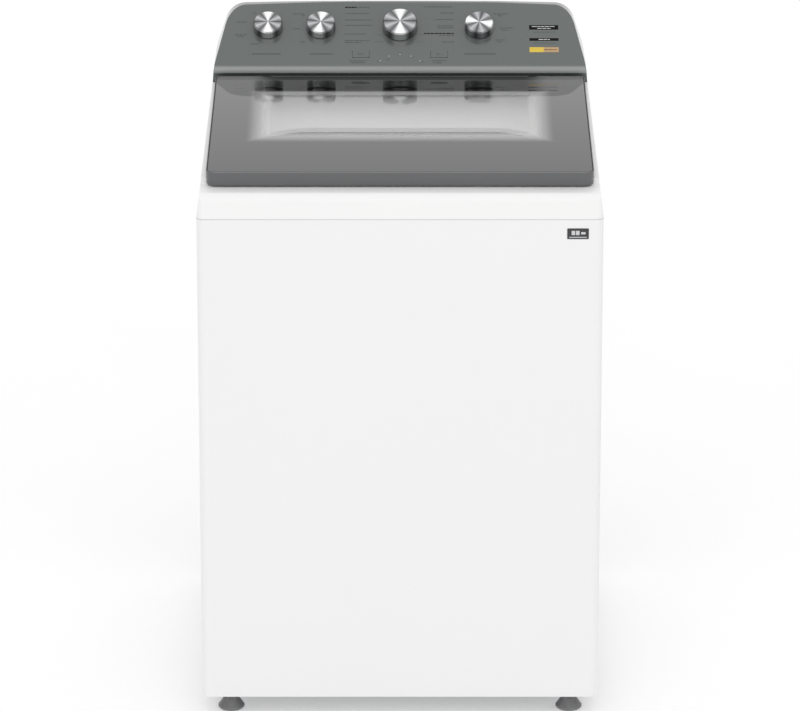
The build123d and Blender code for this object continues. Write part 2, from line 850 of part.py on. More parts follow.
strike_thickness = 3.0
strike_reach = (slot_y - lid_front) / cos(lid_slope)

with BuildPart() as lid_strike:
    with BuildSketch(lid_spot(slot_x, strike_reach, -lid_depth - 24)):
        Rectangle(strike_thickness, 14)
    extrude(amount=24)
    with BuildSketch(Plane.YZ.offset(slot_x - 5)):
        with Locations((slot_y, bed_height(slot_y) - 15)):
            Rectangle(8, 8)
    extrude(amount=10, mode=Mode.SUBTRACT)

write_piece(lid_strike, "lid_strike")

lock_top = bed_height(slot_y) - cover_wall - 2.5
bolt_z = bed_height(slot_y) - 15

with BuildPart() as lid_lock_housing:
    with BuildSketch(Plane.XY.offset(lock_top - 28)):
        with Locations((slot_x + 8, slot_y)):
            RectangleRounded(42, 46, 3)
    extrude(amount=28)
    with BuildSketch(Plane.XY.offset(lock_top - 25)):
        with Locations((slot_x, slot_y)):
            Rectangle(11, 28)
    extrude(amount=30, mode=Mode.SUBTRACT)
    with BuildSketch(Plane.YZ.offset(slot_x)):
        with Locations((slot_y, bolt_z)):
            Rectangle(4.6, 4.6)
    extrude(amount=27, mode=Mode.SUBTRACT)

write_piece(lid_lock_housing, "lid_lock_housing")

with BuildPart() as lid_lock_bolt:
    with BuildSketch(Plane.YZ.offset(slot_x + 6.5)):
        with Locations((slot_y, bolt_z)):
            Rectangle(4.0, 4.0)
    extrude(amount=19)
    chamfer(lid_lock_bolt.faces().sort_by(Axis.X)[0].edges(), 0.5)

write_piece(lid_lock_bolt, "lid_lock_bolt")

bumper_height = 1.7

with BuildPart() as lid_bumpers:
    with BuildSketch(lid_plane.offset(-lid_depth - bumper_height)):
        with Locations((-308, 60), (308, 60), (-308, 430), (308, 430)):
            Circle(6)
    extrude(amount=bumper_height)

write_piece(lid_bumpers, "lid_bumpers")

# ---------------------------------------------------------------- tub suspension

corner_leg = 190.0
seat_thickness = 2.5
cup_thickness = 12.0
rod_tail = 16.0
rod_head = 9.0
rod_spots = [(x * rod_spread, axis_y + y * rod_spread) for x in (-1, 1) for y in (-1, 1)]
front_wall = skin_front + sheet
side_wall = half_width - sheet
rear_wall = shell_rear - sheet

with BuildPart() as suspension_seats:
    with BuildSketch(Plane.XY.offset(seat_height)):
        for seat_x in (-1, 1):
            for wall in (front_wall, rear_wall):
                inward = 1 if wall < 0 else -1
                corner_x = seat_x * (side_wall - 7.5)
                corner_y = wall + inward * 7.5
                with BuildLine():
                    Polyline((corner_x, corner_y), (corner_x - seat_x * corner_leg, corner_y),
                             (corner_x, corner_y + inward * corner_leg), close=True)
                make_face()
        with Locations(*rod_spots):
            Circle(6, mode=Mode.SUBTRACT)
    extrude(amount=seat_thickness)

write_piece(suspension_seats, "suspension_seats")

with BuildPart() as suspension_rods:
    with BuildSketch(Plane.XY.offset(cup_height - rod_tail)):
        with Locations(*rod_spots):
            Circle(rod_radius)
    extrude(amount=seat_height + seat_thickness - cup_height + rod_tail)
    with BuildSketch(Plane.XY.offset(seat_height + seat_thickness)):
        with Locations(*rod_spots):
            Circle(rod_head)
    extrude(amount=rod_head)
    fillet(suspension_rods.faces().sort_by(Axis.Z)[-4:].edges(), 4)

write_piece(suspension_rods, "suspension_rods")

with BuildPart() as suspension_cups:
    with BuildSketch(Plane.XY.offset(cup_height - cup_thickness)):
        with Locations(*rod_spots):
            Circle(20)
        with Locations(*rod_spots):
            Circle(rod_radius, mode=Mode.SUBTRACT)
    extrude(amount=cup_thickness)

write_piece(suspension_cups, "suspension_cups")

spring_wire = 2.0
spring_radius = 14.0
spring_turns = 6
spring_rise = ear_height - cup_height - 2 * spring_wire
coil_path = Helix(spring_rise / spring_turns, spring_rise, spring_radius)
with BuildPart() as one_spring:
    with BuildSketch(Plane(coil_path @ 0, z_dir=coil_path % 0)):
        Circle(spring_wire)
    sweep(path=coil_path, is_frenet=True)

with BuildPart() as suspension_springs:
    with Locations(*[(x, y, cup_height + spring_wire) for x, y in rod_spots]):
        add(one_spring.part)

write_piece(suspension_springs, "suspension_springs")

# ---------------------------------------------------------------- outer tub and drive

spigot_x = -170.0
spigot_y = -80.0
spigot_outer = 14.0

with BuildPart() as outer_tub:
    with BuildSketch(Plane.XZ.offset(-axis_y)):
        with BuildLine():
            Polyline((30, tub_bottom), (tub_radius - 14, tub_bottom), (tub_radius, tub_bottom + 14),
                     (tub_radius, tub_rim), (tub_radius - tub_wall, tub_rim),
                     (tub_radius - tub_wall, tub_bottom + 16), (tub_radius - 16, tub_bottom + tub_wall),
                     (30, tub_bottom + tub_wall), close=True)
        make_face()
    revolve(axis=Axis((0, axis_y, 0), (0, 0, 1)))
    with BuildSketch(Plane.XY.offset(tub_bottom - 24)):
        with Locations((spigot_x, spigot_y)):
            Circle(spigot_outer)
    extrude(amount=24)
    with BuildSketch(Plane.XY.offset(tub_bottom - 24)):
        with Locations((spigot_x, spigot_y)):
            Circle(spigot_outer - 2)
    extrude(amount=24 + tub_wall, mode=Mode.SUBTRACT)

write_piece(outer_tub, "outer_tub")

ring_outer = tub_radius + 5
ring_inner = 245.0

with BuildPart() as tub_ring:
    with BuildSketch(Plane.XZ.offset(-axis_y)):
        with BuildLine():
            Polyline((ring_inner, tub_rim), (tub_radius + 1, tub_rim), (tub_radius + 1, tub_rim - 18),
                     (ring_outer, tub_rim - 18), (ring_outer, tub_rim + 4), (ring_inner + 3, tub_rim + 4),
                     (ring_inner + 3, tub_rim + 14), (ring_inner, tub_rim + 14), close=True)
        make_face()
    revolve(axis=Axis((0, axis_y, 0), (0, 0, 1)))

write_piece(tub_ring, "tub_ring")

plate_thickness = 3.0
plate_bottom = tub_bottom - plate_thickness
plate_radius = 215.0

with BuildPart() as tub_support:
    with BuildSketch(Plane.XY.offset(plate_bottom)):
        with Locations((0, axis_y)):
            Circle(plate_radius)
            for turn in (45, 135):
                Rectangle(2 * rod_spread * sqrt(2) + 50, 56, rotation=turn)
        with Locations((0, axis_y)):
            Circle(64, mode=Mode.SUBTRACT)
        with Locations((spigot_x, spigot_y)):
            Circle(spigot_outer + 4, mode=Mode.SUBTRACT)
        with Locations(*rod_spots):
            Circle(rod_radius + 3, mode=Mode.SUBTRACT)
    extrude(amount=plate_thickness)
    with BuildSketch(Plane.XY.offset(ear_height)):
        with Locations(*rod_spots):
            Circle(20)
            Circle(rod_radius + 3, mode=Mode.SUBTRACT)
    extrude(amount=plate_bottom - ear_height)

write_piece(tub_support, "tub_support")

bearing_radius = 31.0
bearing_height = 14.0
upper_bearing = 186.0
lower_bearing = 158.0
case_bottom = 100.0
case_radius = 58.0

with BuildPart() as gearcase:
    with BuildSketch(Plane.XZ.offset(-axis_y)):
        with BuildLine():
            Polyline((shaft_radius + running_clearance, case_bottom), (case_radius - 6, case_bottom),
                     (case_radius, case_bottom + 6), (case_radius, 150), (40, 156),
                     (40, tub_bottom - 8), (case_radius + 22, tub_bottom - 8),
                     (case_radius + 22, plate_bottom), (case_radius + 4, plate_bottom),
                     (case_radius + 4, tub_bottom), (bearing_radius, tub_bottom),
                     (bearing_radius, lower_bearing), (case_radius - 6, 148),
                     (case_radius - 6, case_bottom + 6), (shaft_radius + running_clearance, case_bottom + 6),
                     close=True)
        make_face()
    revolve(axis=Axis((0, axis_y, 0), (0, 0, 1)))

write_piece(gearcase, "gearcase")

with BuildPart() as hub_bearings:
    for bearing_bottom in (upper_bearing, lower_bearing):
        with BuildSketch(Plane.XY.offset(bearing_bottom)):
            with Locations((0, axis_y)):
                Circle(bearing_radius)
                Circle(spin_tube_radius + running_clearance, mode=Mode.SUBTRACT)
        extrude(amount=bearing_height)

write_piece(hub_bearings, "hub_bearings")

with BuildPart() as tub_seal:
    with BuildSketch(Plane.XY.offset(upper_bearing + bearing_height)):
        with Locations((0, axis_y)):
            Circle(30)
            Circle(spin_tube_radius + running_clearance, mode=Mode.SUBTRACT)
    extrude(amount=tub_bottom + tub_wall + 8 - upper_bearing - bearing_height)

write_piece(tub_seal, "tub_seal")

motor_top = plate_bottom
motor_bottom = 104.0
motor_radius = 60.0
motor_length = 86.0
rotor_radius = 6.0
rotor_depth = 50.0

with BuildPart() as drive_motor:
    with BuildSketch(Plane.XY.offset(motor_bottom)):
        with Locations((motor_x, motor_y)):
            Circle(motor_radius)
    extrude(amount=motor_length)
    chamfer(drive_motor.edges().filter_by(GeomType.CIRCLE), 5)
    with BuildSketch(Plane.XY.offset(motor_bottom + motor_length)):
        with Locations((motor_x, motor_y)):
            with GridLocations(70, 70, 2, 2):
                Circle(8)
    extrude(amount=motor_top - motor_bottom - motor_length)
    with BuildSketch(Plane.XY.offset(motor_bottom)):
        with Locations((motor_x, motor_y)):
            Circle(rotor_radius + running_clearance)
    extrude(amount=rotor_depth, mode=Mode.SUBTRACT)

write_piece(drive_motor, "drive_motor")

pulley_bottom = belt_bottom - 3
pulley_height = belt_width + 6
pulley_shaft_top = 130.0
web_hole = 14.0
web_hole_reach = 44.0

with BuildPart() as motor_pulley:
    with BuildSketch(Plane.XY.offset(pulley_bottom)):
        with Locations((motor_x, motor_y)):
            Circle(motor_pulley_radius + 3)
    extrude(amount=pulley_height)
    with BuildSketch(Plane.XY.offset(belt_bottom - 0.5)):
        with Locations((motor_x, motor_y)):
            Circle(motor_pulley_radius + 10)
            Circle(motor_pulley_radius, mode=Mode.SUBTRACT)
    extrude(amount=belt_width + 1, mode=Mode.SUBTRACT)
    with BuildSketch(Plane.XY.offset(pulley_bottom)):
        with Locations((motor_x, motor_y)):
            Circle(rotor_radius)
    extrude(amount=motor_bottom + rotor_depth - 2 - pulley_bottom)

write_piece(motor_pulley, "motor_pulley")

with BuildPart() as drive_pulley:
    with BuildSketch(Plane.XY.offset(pulley_bottom)):
        with Locations((0, axis_y)):
            Circle(pulley_radius + 3)
    extrude(amount=pulley_height)
    with BuildSketch(Plane.XY.offset(belt_bottom - 0.5)):
        with Locations((0, axis_y)):
            Circle(pulley_radius + 10)
            Circle(pulley_radius, mode=Mode.SUBTRACT)
    extrude(amount=belt_width + 1, mode=Mode.SUBTRACT)
    with BuildSketch(Plane.XY.offset(pulley_bottom)):
        with Locations((0, axis_y)):
            with PolarLocations(web_hole_reach, 6):
                Circle(web_hole)
    extrude(amount=pulley_height, mode=Mode.SUBTRACT)
    with BuildSketch(Plane.XY.offset(pulley_bottom)):
        with Locations((0, axis_y)):
            Circle(shaft_radius)
    extrude(amount=pulley_shaft_top - pulley_bottom)

write_piece(drive_pulley, "drive_pulley")

belt_gap = 0.4
belt_thickness = 4.0


def belt_loop(growth):
    with BuildSketch(Plane.XY.offset(belt_bottom)) as loop:
        with Locations((0, axis_y)):
            Circle(pulley_radius + growth)
        with Locations((motor_x, motor_y)):
            Circle(motor_pulley_radius + growth)
        make_hull()
    return loop.sketch


with BuildPart() as drive_belt:
    extrude(belt_loop(belt_gap + belt_thickness), amount=belt_width)
    extrude(belt_loop(belt_gap), amount=belt_width, mode=Mode.SUBTRACT)

write_piece(drive_belt, "drive_belt")

pump_y = 60.0
pump_z = 145.0
pump_half = 26.0
pump_radius = 42.0
pump_neck = 30.0

with BuildPart() as drain_pump:
    with BuildSketch(Plane.XY.offset(pump_z - pump_half)):
        with Locations((spigot_x, pump_y)):
            Circle(pump_radius)
    extrude(amount=2 * pump_half)
    chamfer(drain_pump.edges().filter_by(GeomType.CIRCLE), 4)
    with BuildSketch(Plane.XY.offset(pump_z + pump_half)):
        with Locations((spigot_x, pump_y)):
            Circle(pump_neck)
    extrude(amount=plate_bottom - pump_z - pump_half)
    with BuildSketch(Plane.XZ.offset(-pump_y)):
        with Locations((spigot_x, pump_z)):
            Circle(spigot_outer)
    extrude(amount=62)
    with BuildSketch(Plane.XZ.offset(-pump_y)):
        with Locations((spigot_x, pump_z)):
            Circle(12)
    extrude(amount=-66)

write_piece(drain_pump, "drain_pump")

hose_path = FilletPolyline((spigot_x, spigot_y, tub_bottom - 5), (spigot_x, spigot_y, pump_z),
                           (spigot_x, pump_y - 44, pump_z), radius=32)

with BuildPart() as sump_hose:
    with BuildSketch(Plane(hose_path @ 0, z_dir=hose_path % 0)):
        Circle(spigot_outer + 3)
    sweep(path=hose_path)
    with BuildSketch(Plane(hose_path @ 0, z_dir=hose_path % 0)):
        Circle(spigot_outer + running_clearance)
    sweep(path=hose_path, mode=Mode.SUBTRACT)

write_piece(sump_hose, "sump_hose")

# ---------------------------------------------------------------- basket and impeller

hub_bottom = 150.0
hub_flange = 100.0
hub_height = 14.0
hub_radius = 34.0
spigot_rise = 6.0
shaft_bottom = 134.0
impeller_radius = 195.0
impeller_bottom = 262.0

with BuildPart() as wash_basket:
    with BuildSketch(Plane.XZ.offset(-axis_y)):
        with BuildLine():
            Polyline((40, basket_bottom), (basket_radius - 30, basket_bottom),
                     (basket_radius, basket_bottom + 30), (basket_radius, basket_top),
                     (basket_radius - basket_wall, basket_top),
                     (basket_radius - basket_wall, basket_bottom + 31),
                     (basket_radius - 31, basket_bottom + basket_wall),
                     (40, basket_bottom + basket_wall), close=True)
        make_face()
    revolve(axis=Axis((0, axis_y, 0), (0, 0, 1)))

write_piece(wash_basket, "wash_basket")

ring_fit = basket_radius - basket_wall

with BuildPart() as balance_ring:
    with BuildSketch(Plane.XZ.offset(-axis_y)):
        with BuildLine():
            Polyline((balance_inner, balance_bottom + 8), (balance_inner + 8, balance_bottom),
                     (ring_fit, balance_bottom), (ring_fit, balance_top),
                     (balance_inner + 8, balance_top), (balance_inner, balance_top - 8), close=True)
        make_face()
    revolve(axis=Axis((0, axis_y, 0), (0, 0, 1)))

write_piece(balance_ring, "balance_ring")

with BuildPart() as basket_hub:
    with BuildSketch(Plane.XY.offset(basket_bottom - hub_height)):
        with Locations((0, axis_y)):
            Circle(hub_radius)
            with PolarLocations(hub_flange / 2, 3):
                RectangleRounded(hub_flange + 20, hub_radius, 8)
    extrude(amount=hub_height)
    with BuildSketch(Plane.XY.offset(basket_bottom)):
        with Locations((0, axis_y)):
            Circle(hub_radius + 5)
    extrude(amount=spigot_rise)
    with BuildSketch(Plane.XY.offset(hub_bottom)):
        with Locations((0, axis_y)):
            Circle(spin_tube_radius)
    extrude(amount=basket_bottom - hub_bottom)
    with BuildSketch(Plane.XY.offset(hub_bottom)):
        with Locations((0, axis_y)):
            Circle(shaft_radius + running_clearance)
    extrude(amount=basket_bottom + spigot_rise - hub_bottom, mode=Mode.SUBTRACT)

write_piece(basket_hub, "basket_hub")

vane_count = 6
vane_length = 130.0

with BuildPart() as wash_impeller:
    with BuildSketch(Plane.XZ.offset(-axis_y)):
        with BuildLine():
            Polyline((0, impeller_bottom + 62), (0, impeller_bottom), (impeller_radius, impeller_bottom),
                     (impeller_radius, impeller_bottom + 8))
            Spline((impeller_radius, impeller_bottom + 8), (120, impeller_bottom + 15),
                   (62, impeller_bottom + 38), (34, impeller_bottom + 58), (0, impeller_bottom + 62))
        make_face()
    revolve(axis=Axis((0, axis_y, 0), (0, 0, 1)))
    with BuildSketch(Plane.XY.offset(impeller_bottom + 4)):
        with Locations((0, axis_y)):
            with PolarLocations(impeller_radius - vane_length / 2 - 6, vane_count):
                SlotOverall(vane_length, 20)
    extrude(amount=30, taper=8)
    with BuildSketch(Plane.XY.offset(shaft_bottom)):
        with Locations((0, axis_y)):
            Circle(shaft_radius)
    extrude(amount=impeller_bottom - shaft_bottom)

write_piece(wash_impeller, "wash_impeller")
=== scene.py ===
import bpy
import json
import random
from math import atan2, cos, hypot, pi, radians, sin
from mathutils import Matrix, Vector


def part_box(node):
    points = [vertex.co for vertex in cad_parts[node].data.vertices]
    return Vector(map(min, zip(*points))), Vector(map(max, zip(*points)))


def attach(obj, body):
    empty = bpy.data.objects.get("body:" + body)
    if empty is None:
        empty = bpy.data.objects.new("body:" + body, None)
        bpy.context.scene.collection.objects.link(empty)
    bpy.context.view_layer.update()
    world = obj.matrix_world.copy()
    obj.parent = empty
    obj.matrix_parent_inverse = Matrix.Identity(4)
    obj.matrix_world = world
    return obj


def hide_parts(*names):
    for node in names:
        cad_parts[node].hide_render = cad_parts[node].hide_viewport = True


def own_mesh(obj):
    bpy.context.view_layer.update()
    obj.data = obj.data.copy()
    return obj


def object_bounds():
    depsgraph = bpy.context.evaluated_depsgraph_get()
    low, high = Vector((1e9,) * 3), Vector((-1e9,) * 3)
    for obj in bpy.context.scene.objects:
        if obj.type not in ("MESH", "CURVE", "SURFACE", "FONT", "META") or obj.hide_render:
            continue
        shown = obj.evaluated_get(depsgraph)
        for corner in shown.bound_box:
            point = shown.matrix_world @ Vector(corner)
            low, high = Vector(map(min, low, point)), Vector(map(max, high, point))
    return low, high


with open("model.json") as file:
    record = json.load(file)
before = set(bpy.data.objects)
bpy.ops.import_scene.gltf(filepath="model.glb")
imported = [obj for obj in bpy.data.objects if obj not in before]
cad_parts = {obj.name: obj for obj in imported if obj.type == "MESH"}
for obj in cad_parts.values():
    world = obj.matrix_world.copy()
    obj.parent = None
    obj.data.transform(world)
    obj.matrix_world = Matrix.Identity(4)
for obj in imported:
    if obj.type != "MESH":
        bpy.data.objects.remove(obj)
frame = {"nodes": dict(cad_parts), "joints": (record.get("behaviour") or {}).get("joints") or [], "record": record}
cadBox = [list(corner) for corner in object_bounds()]
nodes = frame["nodes"]
millimetre = 0.001
facing = 0.9  # a normal this far along an axis counts as facing along it
nearZero = 0.0001  # lengths in metres below this count as nothing
inkThickness = 0.00004
print("frame loaded:", len(nodes), "nodes")


# general helpers

def linearColour(code, alpha=1.0):
    # sRGB hex such as "f2f2f0" to linear RGBA
    parts = [int(code[i:i + 2], 16) / 255 for i in (0, 2, 4)]
    return [p / 12.92 if p <= 0.04045 else ((p + 0.055) / 1.055) ** 2.4 for p in parts] + [alpha]


def addNode(tree, kind, settings=None, links=None):
    # settings are sockets by name or number, a colour ramp's stops, or the node's own options
    node = tree.nodes.new(kind)
    for key, value in (settings or {}).items():
        if key == "stops":
            for position, colour in value[1:-1]:
                node.color_ramp.elements.new(position)
            for element, (position, colour) in zip(node.color_ramp.elements, value):
                element.position = position
                element.color = linearColour(colour)
        elif isinstance(key, int) or key in node.inputs:
            node.inputs[key].default_value = value
        else:
            setattr(node, key, value)
    for socket, source in (links or {}).items():
        tree.links.new(source, node.inputs[socket])
    return node


def newMaterial(name, colour, roughness, metallic=0.0, **sockets):
    # returns the material, its node tree, its shader and the object coordinates in metres
    material = bpy.data.materials.new(name)
    material.use_nodes = True
    tree = material.node_tree
    shader = tree.nodes["Principled BSDF"]
    shader.inputs["Base Color"].default_value = linearColour(colour)
    shader.inputs["Roughness"].default_value = roughness
    shader.inputs["Metallic"].default_value = metallic
    for socket, value in sockets.items():
        shader.inputs[socket.replace("_", " ")].default_value = value
    place = addNode(tree, "ShaderNodeTexCoord").outputs["Object"]
    return material, tree, shader, place


def grain(tree, place, size, detail=2.0, stretch=(1, 1, 1), turn=(0, 0, 0)):
    # noise whose features are about size metres across
    laid = addNode(tree, "ShaderNodeMapping", {"Scale": stretch, "Rotation": turn}, {"Vector": place})
    return addNode(tree, "ShaderNodeTexNoise", {"Scale": 1 / size, "Detail": detail},
                   {"Vector": laid.outputs[0]}).outputs["Fac"]


def vary(tree, shader, pattern, colours=None, roughness=None, depth=None, span=(0.3, 0.7)):
    # one pattern runs the colour or the roughness between two values, or raises the surface by depth metres
    if colours:
        ramp = addNode(tree, "ShaderNodeValToRGB", {"stops": list(enumerate(colours))}, {"Fac": pattern})
        tree.links.new(ramp.outputs["Color"], shader.inputs["Base Color"])
    if roughness:
        limits = {"From Min": span[0], "From Max": span[1], "To Min": roughness[0], "To Max": roughness[1]}
        level = addNode(tree, "ShaderNodeMapRange", limits, {"Value": pattern})
        tree.links.new(level.outputs[0], shader.inputs["Roughness"])
    if depth:
        bump = addNode(tree, "ShaderNodeBump", {"Distance": depth, "Strength": 1.0}, {"Height": pattern})
        tree.links.new(bump.outputs[0], shader.inputs["Normal"])


def deselectAll():
    if bpy.context.object and bpy.context.object.mode != "OBJECT":
        bpy.ops.object.mode_set(mode="OBJECT")
    bpy.ops.object.select_all(action="DESELECT")


def pick(piece):
    deselectAll()
    piece.select_set(True)
    bpy.context.view_layer.objects.active = piece


def edit(piece, faces=None, edges=None, vertices=None):
    # goes to edit mode with only the wanted elements selected; a test gets the element's middle and normal
    pick(piece)
    bpy.ops.object.mode_set(mode="EDIT")
    mode = "FACE" if faces else "EDGE" if edges else "VERT"
    bpy.ops.mesh.select_mode(type=mode)
    bpy.ops.mesh.select_all(action="DESELECT")
    bpy.ops.object.mode_set(mode="OBJECT")
    mesh = piece.data
    if faces:
        for face in mesh.polygons:
            face.select = bool(faces(face.center, face.normal))
    elif edges:
        for edge in mesh.edges:
            a, b = (mesh.vertices[i].co for i in edge.vertices)
            edge.select = bool(edges((a + b) / 2, b - a))
    elif vertices:
        for vertex in mesh.vertices:
            vertex.select = bool(vertices(vertex.co))
    bpy.ops.object.mode_set(mode="EDIT")
    if not (faces or edges or vertices):
        bpy.ops.mesh.select_all(action="SELECT")


def leaveEdit():
    bpy.ops.object.mode_set(mode="OBJECT")


def addModifier(piece, kind, **settings):
    pick(piece)
    modifier = piece.modifiers.new(kind.lower(), kind)
    for key, value in settings.items():
        setattr(modifier, key, value)
    bpy.ops.object.modifier_apply(modifier=modifier.name)


def cleanUp(piece):
    edit(piece)
    bpy.ops.mesh.remove_doubles(threshold=0.00001)
    bpy.ops.mesh.normals_make_consistent(inside=False)
    leaveEdit()


def placePiece(piece, matrix):
    pick(piece)
    piece.matrix_world = matrix @ piece.matrix_world
    bpy.ops.object.transform_apply(location=True, rotation=True, scale=True)


def smooth(piece, angle=35):
    pick(piece)
    bpy.ops.object.shade_smooth_by_angle(angle=radians(angle))


def finishPiece(piece, name, material, body, replaced=(), angle=35, weighted=True):
    piece.name = name
    piece.data.name = name
    smooth(piece, angle)
    if weighted:
        # keeps large flats flat in reflections
        addModifier(piece, "WEIGHTED_NORMAL", keep_sharp=True, weight=100)
    piece.data.materials.clear()
    piece.data.materials.append(material)
    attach(piece, body)
    if replaced:
        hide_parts(*replaced)
    return piece


def copyOfNode(node):
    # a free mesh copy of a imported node, with its loose triangles welded
    source = nodes[node]
    piece = source.copy()
    piece.data = source.data.copy()
    piece.parent = None
    piece.matrix_world = Matrix.Identity(4)
    for key in list(piece.keys()):
        del piece[key]
    bpy.context.scene.collection.objects.link(piece)
    edit(piece)
    bpy.ops.mesh.remove_doubles(threshold=0.00002)
    leaveEdit()
    return piece


def softenedNode(node, name, material, body, width, segments=3, angle=32):
    # the node's own shape with its hard edges rounded the way a moulding or a folded sheet has them
    piece = copyOfNode(node)
    edit(piece)
    bpy.ops.mesh.dissolve_limited(angle_limit=radians(0.4))
    leaveEdit()
    addModifier(piece, "BEVEL", width=width, segments=segments, limit_method="ANGLE",
                angle_limit=radians(angle), use_clamp_overlap=True, harden_normals=False)
    return finishPiece(piece, name, material, body, (node,), angle=40)


def joinPieces(pieces):
    deselectAll()
    for piece in pieces:
        piece.select_set(True)
    bpy.context.view_layer.objects.active = pieces[0]
    bpy.ops.object.join()
    return bpy.context.view_layer.objects.active


def turned(profile, segments=64, closeTop=True, closeBottom=True):
    # a lathe shape about Z from (radius, height) pairs, drawn from the bottom up
    radius, height = profile[0]
    deselectAll()
    bpy.ops.mesh.primitive_circle_add(vertices=segments, radius=radius, location=(0, 0, height),
                                      fill_type="NGON" if closeBottom else "NOTHING")
    piece = bpy.context.object
    bpy.ops.object.transform_apply(location=True, rotation=True, scale=True)
    edit(piece, vertices=lambda co: True)
    bpy.ops.mesh.select_mode(type="EDGE")
    for nextRadius, nextHeight in profile[1:]:
        bpy.ops.mesh.extrude_edges_move(TRANSFORM_OT_translate={"value": (0, 0, nextHeight - height)})
        ratio = nextRadius / radius
        bpy.ops.transform.resize(value=(ratio, ratio, 1), center_override=(0, 0, nextHeight))
        radius, height = nextRadius, nextHeight
    if closeTop:
        bpy.ops.mesh.edge_face_add()
    bpy.ops.mesh.select_all(action="SELECT")
    bpy.ops.mesh.normals_make_consistent(inside=False)
    leaveEdit()
    return piece


# places read from the frame

joints = {joint["name"]: joint for joint in frame["joints"]}
low = Vector(cadBox[0])
lidLow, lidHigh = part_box("lid_glass")
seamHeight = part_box("top_cover")[0].z
shellLow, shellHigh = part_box("cabinet_shell")
tubAxis = Vector(joints["basket_spin"]["pos_m"])
paneThickness = 4 * millimetre
frameRun = lidHigh.y - lidLow.y
lidSlope = atan2(lidHigh.z - lidLow.z - paneThickness, frameRun)
inward = Vector(joints["cycle_dial_turn"]["axis"])
panelOut = -inward
panelUp = Vector((0, panelOut.z, -panelOut.y))
knobFoot = Vector(joints["cycle_dial_turn"]["pos_m"])


def panelMatrix(x, reach, lift=0.0):
    # a place on the console panel, in millimetres: across, up the slope from the knob line, and off the panel
    spot = Vector((0, knobFoot.y, knobFoot.z)) + panelUp * reach * millimetre + panelOut * lift * millimetre
    spot.x = x * millimetre
    turn = Matrix((Vector((1, 0, 0)), panelUp, panelOut)).transposed()
    return Matrix.Translation(spot) @ turn.to_4x4()


def printMarks(name, ink, marks, body, matrix=panelMatrix, lift=0.02):
    # flat bars of ink, each given as across, up, width and height in millimetres
    bars = []
    for x, reach, barWidth, barHeight in marks:
        deselectAll()
        bpy.ops.mesh.primitive_plane_add(size=millimetre)
        bar = bpy.context.object
        bar.scale = (barWidth, barHeight, 1)
        placePiece(bar, matrix(x, reach, lift))
        bars.append(bar)
    piece = joinPieces(bars)
    addModifier(piece, "SOLIDIFY", thickness=inkThickness, offset=1)
    return finishPiece(piece, name, ink, body, weighted=False)


# camera, light and floor

view = {"distance": 8.208, "height": 3.337, "pitch": 18.0, "focal": 225.18}
cameraData = bpy.data.cameras.new("camera")
camera = bpy.data.objects.new("camera", cameraData)
bpy.context.scene.collection.objects.link(camera)
camera.location = (0, low.y - view["distance"], view["height"])
camera.rotation_euler = (radians(90 - view["pitch"]), 0, 0)
cameraData.lens = view["focal"]
cameraData.clip_end = 60
bpy.context.scene.camera = camera
bpy.context.scene.view_settings.view_transform = "Standard"

# a white room whose side walls are grey, so that white edges stand out against it
room = {"wall": "ffffff", "sideWall": "b8b8b8", "sideStart": 0.55, "sideFull": 0.95}
world = bpy.data.worlds.new("whiteRoom")
world.use_nodes = True
tree = world.node_tree
direction = addNode(tree, "ShaderNodeTexCoord").outputs["Generated"]
split = addNode(tree, "ShaderNodeSeparateXYZ", links={"Vector": direction})
sideways = addNode(tree, "ShaderNodeMath", {"operation": "ABSOLUTE"}, {0: split.outputs["X"]}).outputs[0]
side = addNode(tree, "ShaderNodeMapRange", {"interpolation_type": "SMOOTHSTEP", "From Min": room["sideStart"],
                                            "From Max": room["sideFull"]}, {"Value": sideways})
walls = addNode(tree, "ShaderNodeMix", {"data_type": "RGBA", 6: linearColour(room["wall"]),
                                        7: linearColour(room["sideWall"])}, {"Factor": side.outputs[0]})
lightPath = addNode(tree, "ShaderNodeLightPath")
seen = addNode(tree, "ShaderNodeMix", {"data_type": "RGBA", 7: linearColour(room["wall"])},
               {"Factor": lightPath.outputs["Is Camera Ray"], 6: walls.outputs[2]})
tree.links.new(seen.outputs[2], tree.nodes["Background"].inputs["Color"])
bpy.context.scene.world = world


softboxes = {
    "frontSoftbox": {"place": (0.0, -3.1, 3.5), "aim": (0, 0, 0.9), "size": (3.0, 1.4), "power": 9},
    "topSoftbox": {"place": (0.0, -0.6, 4.0), "aim": (0, 0, 1.0), "size": (2.5, 2.5), "power": 2},
}
for name, softbox in softboxes.items():
    data = bpy.data.lights.new(name, "AREA")
    data.shape = "RECTANGLE"
    data.size, data.size_y = softbox["size"]
    data.energy = softbox["power"]
    light = bpy.data.objects.new(name, data)
    bpy.context.scene.collection.objects.link(light)
    light.location = softbox["place"]
    heading = Vector(softbox["aim"]) - Vector(softbox["place"])
    light.rotation_euler = heading.to_track_quat("-Z", "Y").to_euler()

# pale paper sweep, lit a little from behind so that the shadow under the machine stays light
paper = {"size": 30, "patch": 0.4, "glow": 0.36}
floorMaterial, tree, shader, place = newMaterial("paleStudioFloor", "d4d4d4", 0.6,
                                                 Emission_Strength=paper["glow"],
                                                 Emission_Color=linearColour("ffffff"))
vary(tree, shader, grain(tree, place, paper["patch"], 4), ("d2d2d2", "d6d6d6"))
deselectAll()
bpy.ops.mesh.primitive_plane_add(size=paper["size"], location=(0, 0, 0))
floor = bpy.context.object
floor.name = "floor"
floor.data.materials.append(floorMaterial)
print("camera, lights and floor placed")


# materials

